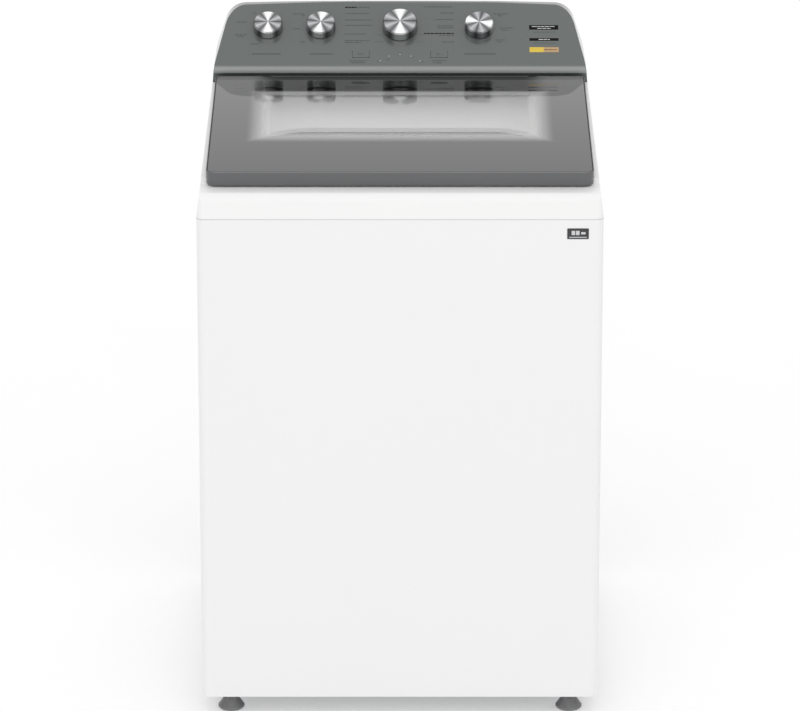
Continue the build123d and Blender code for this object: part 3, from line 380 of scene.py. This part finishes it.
def gritted(name, colour, other, roughness, size, depth, metallic=0.0, patch=0.05, **sockets):
    # slow colour variation over patch metres, and a fine surface of size metres that is depth metres deep
    material, tree, shader, place = newMaterial(name, colour, roughness, metallic, **sockets)
    vary(tree, shader, grain(tree, place, patch, 3), colours=(colour, other))
    vary(tree, shader, grain(tree, place, patch / 3, 4), roughness=(roughness - 0.02, roughness + 0.02))
    vary(tree, shader, grain(tree, place, size, 2), depth=depth)
    return material


def brushed(name, colour, other, roughness, spacing, direction, depth=0.00003, **sockets):
    # metal drawn through an abrasive belt: fine scratches spacing metres apart that run along direction
    material, tree, shader, place = newMaterial(name, colour, roughness, 1.0, **sockets)
    lines = grain(tree, place, spacing, 3, tuple(0.02 if axis == direction else 1 for axis in range(3)))
    vary(tree, shader, lines, (colour, other), (roughness - 0.08, roughness + 0.1), depth)
    return material


# baked enamel on sheet steel: glossy, with a faint orange peel about 3 mm across
enamel = gritted("bakedWhiteEnamel", "f2f2f2", "f3f3f3", 0.3, 0.003, 0.00002, patch=0.3,
                 Coat_Weight=0.3, Coat_Roughness=0.12)
# injection-moulded ABS from a polished tool: near-white, softer gloss, finest grain
whiteAbs = gritted("mouldedWhiteABS", "f4f4f4", "f7f7f6", 0.34, 0.0016, 0.00002, patch=0.2)
# moulded ABS with a hard clear coat: grey-green graphite that mirrors the knobs softly
consoleAbs = gritted("coatedGraphiteABS", "575d5b", "5b615f", 0.2, 0.0012, 0.00001, patch=0.25,
                     Coat_Weight=0.6, Coat_Roughness=0.1)
# moulded ABS, darker, for the lid's frame and front lip
lidAbs = gritted("mouldedDarkABS", "5f6061", "656667", 0.3, 0.0012, 0.00002, patch=0.15)
# the same moulding with a paler band painted along its nose, about 13 mm wide: a painted highlight standing in for
# the light the rounded nose reflects
noseHighlight = {"start": -90.0, "full": -96.0, "colour": "8e9290"}
noseHighlightAbs, tree, shader, place = newMaterial("graphiteABSPaintedNoseHighlight", "575d5b", 0.2, Coat_Weight=0.6,
                                             Coat_Roughness=0.1)
upSlope = addNode(tree, "ShaderNodeVectorMath", {"operation": "DOT_PRODUCT", 1: panelUp}, {0: place})
knobLine = Vector((0, knobFoot.y, knobFoot.z)).dot(panelUp)
noseHighlightMask = addNode(tree, "ShaderNodeMapRange", {"From Min": knobLine + noseHighlight["start"] * millimetre,
                                            "From Max": knobLine + noseHighlight["full"] * millimetre,
                                            "To Min": 0, "To Max": 1}, {"Value": upSlope.outputs["Value"]})
face = addNode(tree, "ShaderNodeValToRGB", {"stops": [(0, "575d5b"), (1, "5b615f")]},
               {"Fac": grain(tree, place, 0.25, 3)})
mixed = addNode(tree, "ShaderNodeMix", {"data_type": "RGBA", 7: linearColour(noseHighlight["colour"])},
                {"Factor": noseHighlightMask.outputs[0], 6: face.outputs["Color"]})
tree.links.new(mixed.outputs[2], shader.inputs["Base Color"])
vary(tree, shader, grain(tree, place, 0.08, 4), roughness=(0.16, 0.25))
vary(tree, shader, grain(tree, place, 0.0012, 2), depth=0.00001)
blackNylon = gritted("mouldedBlackNylon", "1b1b1c", "242425", 0.5, 0.0012, 0.00004)
greyNylon = gritted("mouldedGreyNylon", "7d7f80", "8a8c8d", 0.5, 0.0012, 0.00004)
footNylon = gritted("mouldedFootNylon", "6c6c6d", "808081", 0.42, 0.0012, 0.00004, patch=0.02)
tubPlastic = gritted("mouldedPolypropylene", "c3c8cc", "d0d4d7", 0.45, 0.0014, 0.00003, patch=0.12)
ringPlastic = gritted("mouldedRingPolypropylene", "d7d9db", "e2e4e5", 0.4, 0.0014, 0.00003, patch=0.12)
blackRubber = gritted("mouldedRubber", "161616", "202020", 0.7, 0.0008, 0.00005)
# hot-dip zinc: large soft crystals called spangle, about 12 mm across
zinc, tree, shader, place = newMaterial("galvanisedSteel", "a4a8ab", 0.42, 1.0)
crystals = addNode(tree, "ShaderNodeTexVoronoi", {"Scale": 1 / 0.012}, {"Vector": place})
vary(tree, shader, crystals.outputs["Color"], colours=("9ea2a5", "aeb2b5"))
vary(tree, shader, crystals.outputs["Distance"], roughness=(0.34, 0.5), span=(0, 0.008))
turnedSteel = brushed("turnedSteel", "b4b5b7", "9c9ea0", 0.3, 0.0006, 0)
drumSteel = brushed("polishedStainless", "c9cbcd", "b9bbbe", 0.24, 0.0012, 2)
castAlloy = gritted("dieCastAluminium", "9a9b9d", "a9aaac", 0.45, 0.002, 0.00008, metallic=1.0)
motorPaint = gritted("paintedMotorSteel", "2b2c2e", "36373a", 0.4, 0.0015, 0.00003)
boardMask = gritted("solderMask", "1d5a35", "246b40", 0.35, 0.004, 0.00005, patch=0.02)
lensPlastic = gritted("frostedLens", "8d9391", "a5aaa8", 0.3, 0.001, 0.00001, patch=0.01)
badgeFilm = gritted("printedFilm", "333336", "3a3a3d", 0.3, 0.001, 0.00001, patch=0.02)
darkInk = gritted("darkPadPrint", "3f4644", "474e4c", 0.4, 0.0006, 0.000005, patch=0.004)
blackInk = gritted("blackPadPrint", "050505", "0b0b0b", 0.6, 0.0006, 0.000005, patch=0.004,
                   Specular_IOR_Level=0.15)
yellowInk = gritted("yellowPadPrint", "dcbb35", "e6c64a", 0.4, 0.0006, 0.000005, patch=0.004)
tanInk = gritted("tanPadPrint", "b89468", "c4a276", 0.4, 0.0006, 0.000005, patch=0.004)
paleInk = gritted("palePadPrint", "c9cccb", "d6d8d7", 0.4, 0.0006, 0.000005, patch=0.004)

slotFinish = {
    "white_enamel": enamel, "white_plastic": whiteAbs, "graphite_console": consoleAbs, "lid_graphite": lidAbs,
    "knob_core": blackNylon, "key_film": consoleAbs, "light_lens": lensPlastic, "badge_film": badgeFilm,
    "foot_grey": footNylon, "galvanised_sheet": zinc, "zinc_screws": zinc, "bright_steel": turnedSteel,
    "spring_steel": turnedSteel, "drum_steel": drumSteel, "motor_steel": motorPaint,
    "cast_aluminium": castAlloy, "tub_plastic": tubPlastic, "ring_plastic": ringPlastic,
    "impeller_plastic": ringPlastic, "grey_plastic": greyNylon, "black_plastic": blackNylon,
    "circuit_board": boardMask, "soft_rubber": blackRubber,
}
nodeSlots = {part["node"]: part["material_slot"] for part in frame["record"]["subparts"]}
for node, slot in nodeSlots.items():
    if slot in slotFinish:
        for socket in nodes[node].material_slots:
            socket.material = slotFinish[slot]
print("materials made:", len(bpy.data.materials))


# shells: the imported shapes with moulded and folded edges

softenedNode("top_cover", "topCover", whiteAbs, "cabinet", 0.0022, 3)
softenedNode("console_fascia", "consoleFascia", noseHighlightAbs, "cabinet", 0.0012, 3)
softenedNode("console_housing", "consoleShell", consoleAbs, "cabinet", 0.0012, 2)
softenedNode("lid_frame", "lidFrame", lidAbs, "lid", 0.0008, 2)
softenedNode("lid_handle", "lidHandle", lidAbs, "lid", 0.0018, 3)
print("shells softened")


# the lid's pane, with a ceramic border fired on its underside

pane = {"edge": 0.0007, "corner": 0.013, "clearX": 0.222, "opaqueX": 0.272, "frontOpaque": 0.148,
        "frontClear": 0.205, "rearClear": 0.104, "rearOpaque": 0.076, "frontInk": "484848",
        "rearInk": "6c6c6c", "consoleReflectionInk": "101010", "tint": "ffffff"}
paneMiddle = (lidLow + lidHigh) / 2
paneLength = (frameRun - paneThickness * sin(lidSlope)) / cos(lidSlope)
paneTurn = Matrix.Translation(paneMiddle) @ Matrix.Rotation(lidSlope, 4, "X")

# toughened float glass, clear in the middle; a dark enamel border behind it makes a soft grey mirror
borderedGlass, tree, shader, place = newMaterial("borderedToughenedGlass", pane["tint"], 0.01, IOR=1.42)
laid = addNode(tree, "ShaderNodeSeparateXYZ", links={"Vector": place})
sideways = addNode(tree, "ShaderNodeMath", {"operation": "ABSOLUTE"}, {0: laid.outputs["X"]}).outputs[0]
fades = [(sideways, pane["clearX"], pane["opaqueX"]),
         (laid.outputs["Y"], lidHigh.y - pane["rearClear"], lidHigh.y - pane["rearOpaque"]),
         (laid.outputs["Y"], lidLow.y + pane["frontClear"], lidLow.y + pane["frontOpaque"])]
borders = []
for source, clear, opaque in fades:
    fade = addNode(tree, "ShaderNodeMapRange", {"interpolation_type": "SMOOTHSTEP", "From Min": clear,
                                                "From Max": opaque}, {"Value": source})
    borders.append(fade.outputs[0])
side, rear, front = borders
cover = addNode(tree, "ShaderNodeMath", {"operation": "MAXIMUM"}, {0: side, 1: rear}).outputs[0]
cover = addNode(tree, "ShaderNodeMath", {"operation": "MAXIMUM"}, {0: cover, 1: front}).outputs[0]
# the strip between the hinges is painted darker than the rest: a painted reflection of the console above it
consoleReflectionStrip = addNode(tree, "ShaderNodeMath", {"operation": "SUBTRACT", "use_clamp": True}, {0: rear, 1: side})
# the dark border ink is painted paler towards the rear: a painted reflection that brightens towards the hinge
reflectionGrade = addNode(tree, "ShaderNodeMapRange", {"From Min": lidLow.y, "From Max": lidHigh.y},
                    {"Value": laid.outputs["Y"]})
borderInkAndReflection = addNode(tree, "ShaderNodeValToRGB", {"stops": [(0, pane["frontInk"]), (1, pane["rearInk"])]},
                    {"Fac": reflectionGrade.outputs[0]})
ink = addNode(tree, "ShaderNodeMix", {"data_type": "RGBA", 7: linearColour(pane["consoleReflectionInk"])},
              {"Factor": consoleReflectionStrip.outputs[0], 6: borderInkAndReflection.outputs["Color"]})
tone = addNode(tree, "ShaderNodeMix", {"data_type": "RGBA", 6: linearColour(pane["tint"])},
               {"Factor": cover, 7: ink.outputs[2]})
tree.links.new(tone.outputs[2], shader.inputs["Base Color"])
clearness = addNode(tree, "ShaderNodeMapRange", {"From Min": 0, "From Max": 1, "To Min": 1, "To Max": 0},
                    {"Value": cover})
tree.links.new(clearness.outputs[0], shader.inputs["Transmission Weight"])
vary(tree, shader, grain(tree, place, 0.08, 3), roughness=(0.004, 0.03))

deselectAll()
bpy.ops.mesh.primitive_cube_add(size=1)
glass = bpy.context.object
glass.scale = (lidHigh.x - lidLow.x, paneLength, paneThickness)
bpy.ops.object.transform_apply(location=True, rotation=True, scale=True)
edit(glass, edges=lambda middle, run: abs(run.z) > paneThickness / 2 and abs(run.x) + abs(run.y) < nearZero)
bpy.ops.mesh.bevel(offset=pane["corner"], segments=8)
leaveEdit()
edit(glass, faces=lambda middle, normal: abs(normal.z) > facing)
bpy.ops.mesh.bevel(offset=pane["edge"], segments=2)
leaveEdit()
placePiece(glass, paneTurn)
finishPiece(glass, "lidPane", borderedGlass, "lid", ("lid_glass",))
# daylight passes through the pane into the well
glass.visible_shadow = False


def paneMatrix(x, reach, lift):
    height = paneThickness / 2 / millimetre + lift
    return paneTurn @ Matrix.Translation(Vector((x, reach, height)) * millimetre)


# the seal along the pane's two long sides
seal = {"x": 331.4, "width": 1.6, "length": 494.0}
sealMarks = [(side * seal["x"], 0.0, seal["width"], seal["length"]) for side in (-1, 1)]
printMarks("paneSeal", blackRubber, sealMarks, "lid", paneMatrix)
print("lid glazed")


# knobs: spun aluminium caps over dark cores

knobShapes = {
    "cycle": {"radius": 31.5, "height": 20.0, "turn": 0.0},
    "temperature": {"radius": 26.5, "height": 18.0, "turn": 0.0},
    "water_level": {"radius": 26.5, "height": 18.0, "turn": 0.03},
    "soil": {"radius": 26.5, "height": 18.0, "turn": -0.21},
}

# aluminium spun and brushed in a circle; the rays of light and shade that run out from the centre are painted
# highlights and painted shade in its colour
spunAluminiumPaintedRays, tree, shader, place = newMaterial("spunAluminiumPaintedRays", "dcdddf", 0.26, 1.0, Anisotropic=0.75)
uv = addNode(tree, "ShaderNodeUVMap", {"uv_map": "turning"}).outputs[0]
turns = addNode(tree, "ShaderNodeSeparateXYZ", links={"Vector": uv})
once = addNode(tree, "ShaderNodeMath", {"operation": "FRACT"}, {0: turns.outputs["X"]})
highlightQuarter = [(0.0, "4e4f51"), (0.025, "8f9092"), (0.075, "c6c7c8"), (0.12, "8a8b8d"), (0.155, "626365"),
           (0.185, "b5b6b7"), (0.205, "f6f6f7"), (0.25, "ffffff")]
highlightWedges = highlightQuarter + [(0.5 - turn, tone) for turn, tone in reversed(highlightQuarter[:-1])]
highlightWedges += [(turn + 0.5, tone) for turn, tone in highlightWedges[1:]]
paintedRays = addNode(tree, "ShaderNodeValToRGB", {"stops": highlightWedges}, {"Fac": once.outputs[0]})
tree.links.new(paintedRays.outputs["Color"], shader.inputs["Base Color"])
# tool marks half a millimetre apart
rings = addNode(tree, "ShaderNodeTexNoise", {"noise_dimensions": "1D", "Scale": 1 / 0.0005, "Detail": 2.0},
                {"W": turns.outputs["Y"]}).outputs["Fac"]
vary(tree, shader, rings, roughness=(0.2, 0.34), depth=0.00001)
tangent = addNode(tree, "ShaderNodeTangent", {"direction_type": "UV_MAP", "uv_map": "turning"})
tree.links.new(tangent.outputs[0], shader.inputs["Tangent"])


def turningMap(piece, turn=0.0):
    # u runs once round the axis from turn, v is the distance from it in metres
    layer = piece.data.uv_layers.new(name="turning")
    for face in piece.data.polygons:
        spots = [piece.data.vertices[i].co for i in face.vertices]
        around = [atan2(spot.y, spot.x) / (2 * pi) for spot in spots]
        widest = max(around)
        for corner, u in zip(face.loop_indices, around):
            co = piece.data.vertices[piece.data.loops[corner].vertex_index].co
            if widest - u > 0.5:
                u += 1
            layer.data[corner].uv = (u + 1 + turn, hypot(co.x, co.y) + co.z)


def knobCap(name, radius, height):
    r, h = radius * millimetre, height * millimetre
    step = millimetre
    profile = [(r - 1.3 * step, 1.6 * step), (r, 1.6 * step), (r, 2.2 * step),
               (r - 0.3 * step, h - 3.2 * step), (r - 0.9 * step, h - 2.4 * step),
               (r - 1.5 * step, h - 1.0 * step), (r - 2.4 * step, h - 0.2 * step), (r - 3.4 * step, h),
               (r * 0.5, h), (r * 0.02, h)]
    return turned(profile, 96)


for name, shape in knobShapes.items():
    spot = Vector(joints[name + "_dial_turn"]["pos_m"])
    cap = knobCap(name, shape["radius"], shape["height"])
    turningMap(cap, shape["turn"])
    placePiece(cap, panelMatrix(spot.x / millimetre, 0))
    finishPiece(cap, name.replace("_l", "L").replace("_", "") + "KnobCap", spunAluminiumPaintedRays, name + "_dial",
                (name + "_knob_cap",), angle=28)
print("knobs turned")


# printing on the console: short bars stand in for words, so nothing can be read

wording = {"shortest": 4.0, "longest": 9.0, "gap": 1.2, "least": 2.5}


def words(left, right, reach, barHeight=2.0):
    # a line of bars with word-long lengths between two ends
    bars = []
    while right - left > wording["least"]:
        run = min(random.uniform(wording["shortest"], wording["longest"]), right - left)
        bars.append((left + run / 2, reach, run, barHeight))
        left += run + wording["gap"]
    return bars


random.seed(11)
labels = {
    "temperatureLabels": [(-297, -279, 14.5), (-300, -279, -16.5), (-297, -283, -20.5), (-271, -255, -38.5),
                          (-267, -261, 36.0)],
    "waterLabels": [(-195, -173, 34.4), (-179, -173, 30.0), (-195, -182, -2.0), (-182, -171, -33.8)],
    "cycleListLeft": [(-77, -52, 50.5), (-100, -55, 35.5), (-100, -51, 19.5), (-100, -51, 6.5),
                      (-100, -62, -14.5), (-100, -56, -30.5), (-100, -70, -35.0)],
    "cycleListRight": [(44, 98, 51.6), (74, 98, 36.6), (64, 98, 20.7), (68, 98, 5.3), (68, 98, 0.5),
                       (76, 98, -33.8), (70, 98, -18.0)],
    "soilLabels": [(171, 197, 34.4), (178, 189, 30.0), (182, 208, 0.2), (184, 200, -5.0), (173, 191, -28.9),
                   (177, 188, -33.5)],
    "buttonLabels": [(-92, -60, -79.5), (-88, -64, -84.0), (58, 84, -79.0), (60, 78, -84.0)],
}
titles = {"temperatureTitle": (-268, -213, -62.8), "waterTitle": (-164, -122, -62.8),
          "soilTitle": (117, 173, -62.8)}
faintMarks = []
for lines in labels.values():
    for left, right, reach in lines:
        faintMarks += words(left, right, reach)
for left, right, reach in titles.values():
    faintMarks += words(left, right, reach, 2.6)
# one short note beside each of the five stage lights
stageNotes = ((-38, -80), (-22, -76.5), (22, -70), (41, -82), (0, -60.5))
faintMarks += [(x, reach, 5.5, 1.6) for x, reach in stageNotes]
printMarks("consoleLabels", darkInk, faintMarks, "cabinet")
leaders = [(side * 38, reach, 15, 0.5) for side in (-1, 1) for reach in (-16, -33)]
printMarks("consoleLeaders", darkInk, leaders, "cabinet")
boldMarks = words(-100, -79, 50.5, 3.2) + words(44, 62, -13.3, 2.8) + words(63, 98, -13.3, 2.6)
printMarks("consoleBoldLabels", blackInk, boldMarks, "cabinet")

decal = {"left": 235.0, "right": 288.0, "split": 260.5, "stripe": -52.5, "stripeHeight": 12}
decalMiddle = (decal["left"] + decal["right"]) / 2
decalWidth = decal["right"] - decal["left"]
decalBars = [(decalMiddle, 1.5, decalWidth, 11.0), (decalMiddle, -27.8, decalWidth, 6.5)]
printMarks("decalBars", blackInk, decalBars, "cabinet")
for name, ink, left, right in (("decalYellow", yellowInk, decal["left"], decal["split"]),
                               ("decalTan", tanInk, decal["split"], decal["right"])):
    stripe = ((left + right) / 2, decal["stripe"], right - left, decal["stripeHeight"])
    printMarks(name, ink, [stripe], "cabinet")
decalNotes = words(242, 283, -10.0, 1.4) + words(242, 283, -36.5, 1.4) + words(262, 286, -52.5, 1.6)
printMarks("decalNotes", darkInk, decalNotes, "cabinet")
paleMarks = words(240, 282, 3.6, 1.5) + words(250, 274, -0.8, 1.5) + words(252, 272, -27.8, 1.8)
printMarks("decalPaleNotes", paleInk, paleMarks, "cabinet", lift=0.07)

keys = {"reach": -64.0, "lift": 0.82, "middle": {"start": 71.0, "options": -71.0},
        "bars": {"start": [(-3.5, 0, 1.2, 5.0), (-0.5, 0, 1.2, 5.0), (4.5, 0, 4.0, 1.2)],
                 "options": [(-4.5, 0, 1.6, 5.0), (0, 0, 1.6, 5.0), (4.5, 0, 1.6, 5.0)]}}
for key, middle in keys["middle"].items():
    marks = [(middle + x, y + keys["reach"], barWidth, barHeight)
             for x, y, barWidth, barHeight in keys["bars"][key]]
    printMarks(key + "KeyIcon", darkInk, marks, key + "_button", lift=keys["lift"])


def badgeMatrix(x, z, lift):
    return (Matrix.Translation((x * millimetre, low.y - lift * millimetre, z * millimetre))
            @ Matrix.Rotation(radians(90), 4, "X"))


badgeLow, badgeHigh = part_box("capacity_badge")
badgeX, badgeZ = [(badgeLow[i] + badgeHigh[i]) / 2 / millimetre for i in (0, 2)]
badgeMarks = [(badgeX - 8, badgeZ + 1.5, 6.0, 7.5), (badgeX - 0.5, badgeZ + 1.5, 6.0, 7.5),
              (badgeX + 9, badgeZ + 1.0, 7.5, 4.0), (badgeX, badgeZ - 6.3, 30.0, 1.4)]
printMarks("badgeMarks", paleInk, badgeMarks, "cabinet", badgeMatrix)
print("console and badge printed")


# coil springs under the tub, copied with a mesh of their own

springs = copyOfNode("suspension_springs")
finishPiece(springs, "tubSprings", turnedSteel, "cabinet", ("suspension_springs",),
            weighted=False)
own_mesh(springs)
print("springs fitted")


# a pale grey strip where the top cover meets the cabinet: painted shade standing in for the shaded gap that shows
# as a line there

shadeStrip = {"height": 1.2, "proud": 0.15, "depth": 0.8, "corner": 14.0}
seamShadeStrip = gritted("paintedSeamShade", "c6c6c6", "cecece", 0.6, 0.001, 0.00003, patch=0.05)
deselectAll()
bpy.ops.mesh.primitive_cube_add(size=1)
line = bpy.context.object
line.scale = (shellHigh.x - shellLow.x + 2 * shadeStrip["proud"] * millimetre,
              shellHigh.y - shellLow.y + shadeStrip["proud"] * millimetre, shadeStrip["height"] * millimetre)
line.location = (0, (shellLow.y + shellHigh.y - shadeStrip["proud"] * millimetre) / 2, seamHeight)
bpy.ops.object.transform_apply(location=True, rotation=True, scale=True)
edit(line, edges=lambda middle, run: abs(run.x) + abs(run.y) < nearZero and middle.y < 0)
bpy.ops.mesh.bevel(offset=shadeStrip["corner"] * millimetre, segments=10)
leaveEdit()
edit(line, faces=lambda middle, normal: abs(normal.z) > facing or normal.y > facing)
bpy.ops.mesh.delete(type="FACE")
leaveEdit()
addModifier(line, "SOLIDIFY", thickness=shadeStrip["depth"] * millimetre, offset=-1)
finishPiece(line, "seamShadeStrip", seamShadeStrip, "cabinet", weighted=False)
print("seam gasket laid")


# the basket: drawn stainless sheet with rows of drain holes

basket = {"columns": 70, "rows": 23, "hole": 0.0032, "rounding": 0.58, "wall": 0.0012, "floorRise": 0.030,
          "cornerCut": 0.009, "cornerRun": 0.030, "hubHole": 0.040, "top": 0.046}
basketLow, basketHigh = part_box("wash_basket")
basketRadius = (basketHigh.x - basketLow.x) / 2
holeBottom = basketLow.z + basket["floorRise"]
holeTop = basketHigh.z - basket["top"]
cellWidth = 2 * pi * basketRadius / basket["columns"]
deselectAll()
bpy.ops.mesh.primitive_cylinder_add(vertices=basket["columns"], radius=basketRadius,
                                    depth=holeTop - holeBottom, end_fill_type="NOTHING",
                                    location=(0, 0, (holeTop + holeBottom) / 2))
basketPiece = bpy.context.object
bpy.ops.object.transform_apply(location=True, rotation=True, scale=True)
edit(basketPiece, edges=lambda middle, run: abs(run.z) > cellWidth)
bpy.ops.mesh.subdivide(number_cuts=basket["rows"] - 1)
leaveEdit()
edit(basketPiece, faces=lambda middle, normal: True)
bpy.ops.mesh.inset(thickness=cellWidth / 2 - basket["hole"], use_individual=True)
bpy.ops.mesh.bevel(offset=basket["hole"] * basket["rounding"], affect="VERTICES", segments=2)
leaveEdit()
edit(basketPiece, faces=lambda middle, normal: False)
leaveEdit()
# the small many-sided faces are the holes
for face in basketPiece.data.polygons:
    face.select = len(face.vertices) > 8 and face.area < 5 * basket["hole"] ** 2
bpy.ops.object.mode_set(mode="EDIT")
bpy.ops.mesh.delete(type="FACE")
leaveEdit()


def drawRim(piece, height, rings):
    # carries the boundary at one height on through (radius, height) rings
    edit(piece, vertices=lambda co: abs(co.z - height) < 0.00001)
    bpy.ops.mesh.select_mode(type="EDGE")
    radius = basketRadius
    for nextRadius, nextHeight in rings:
        bpy.ops.mesh.extrude_edges_move(TRANSFORM_OT_translate={"value": (0, 0, nextHeight - height)})
        ratio = nextRadius / radius
        bpy.ops.transform.resize(value=(ratio, ratio, 1), center_override=(0, 0, nextHeight))
        radius, height = nextRadius, nextHeight
    leaveEdit()


drawRim(basketPiece, holeTop, [(basketRadius, basketHigh.z)])
drawRim(basketPiece, holeBottom, [(basketRadius - basket["cornerCut"], basketLow.z + basket["cornerCut"]),
                                  (basketRadius - basket["cornerRun"], basketLow.z),
                                  (basket["hubHole"], basketLow.z)])
cleanUp(basketPiece)
addModifier(basketPiece, "SOLIDIFY", thickness=basket["wall"], offset=-1)
placePiece(basketPiece, Matrix.Translation((tubAxis.x, tubAxis.y, 0)))
finishPiece(basketPiece, "perforatedBasket", drumSteel, "basket", ("wash_basket",),
            weighted=False)
print("basket pierced")

print("done")
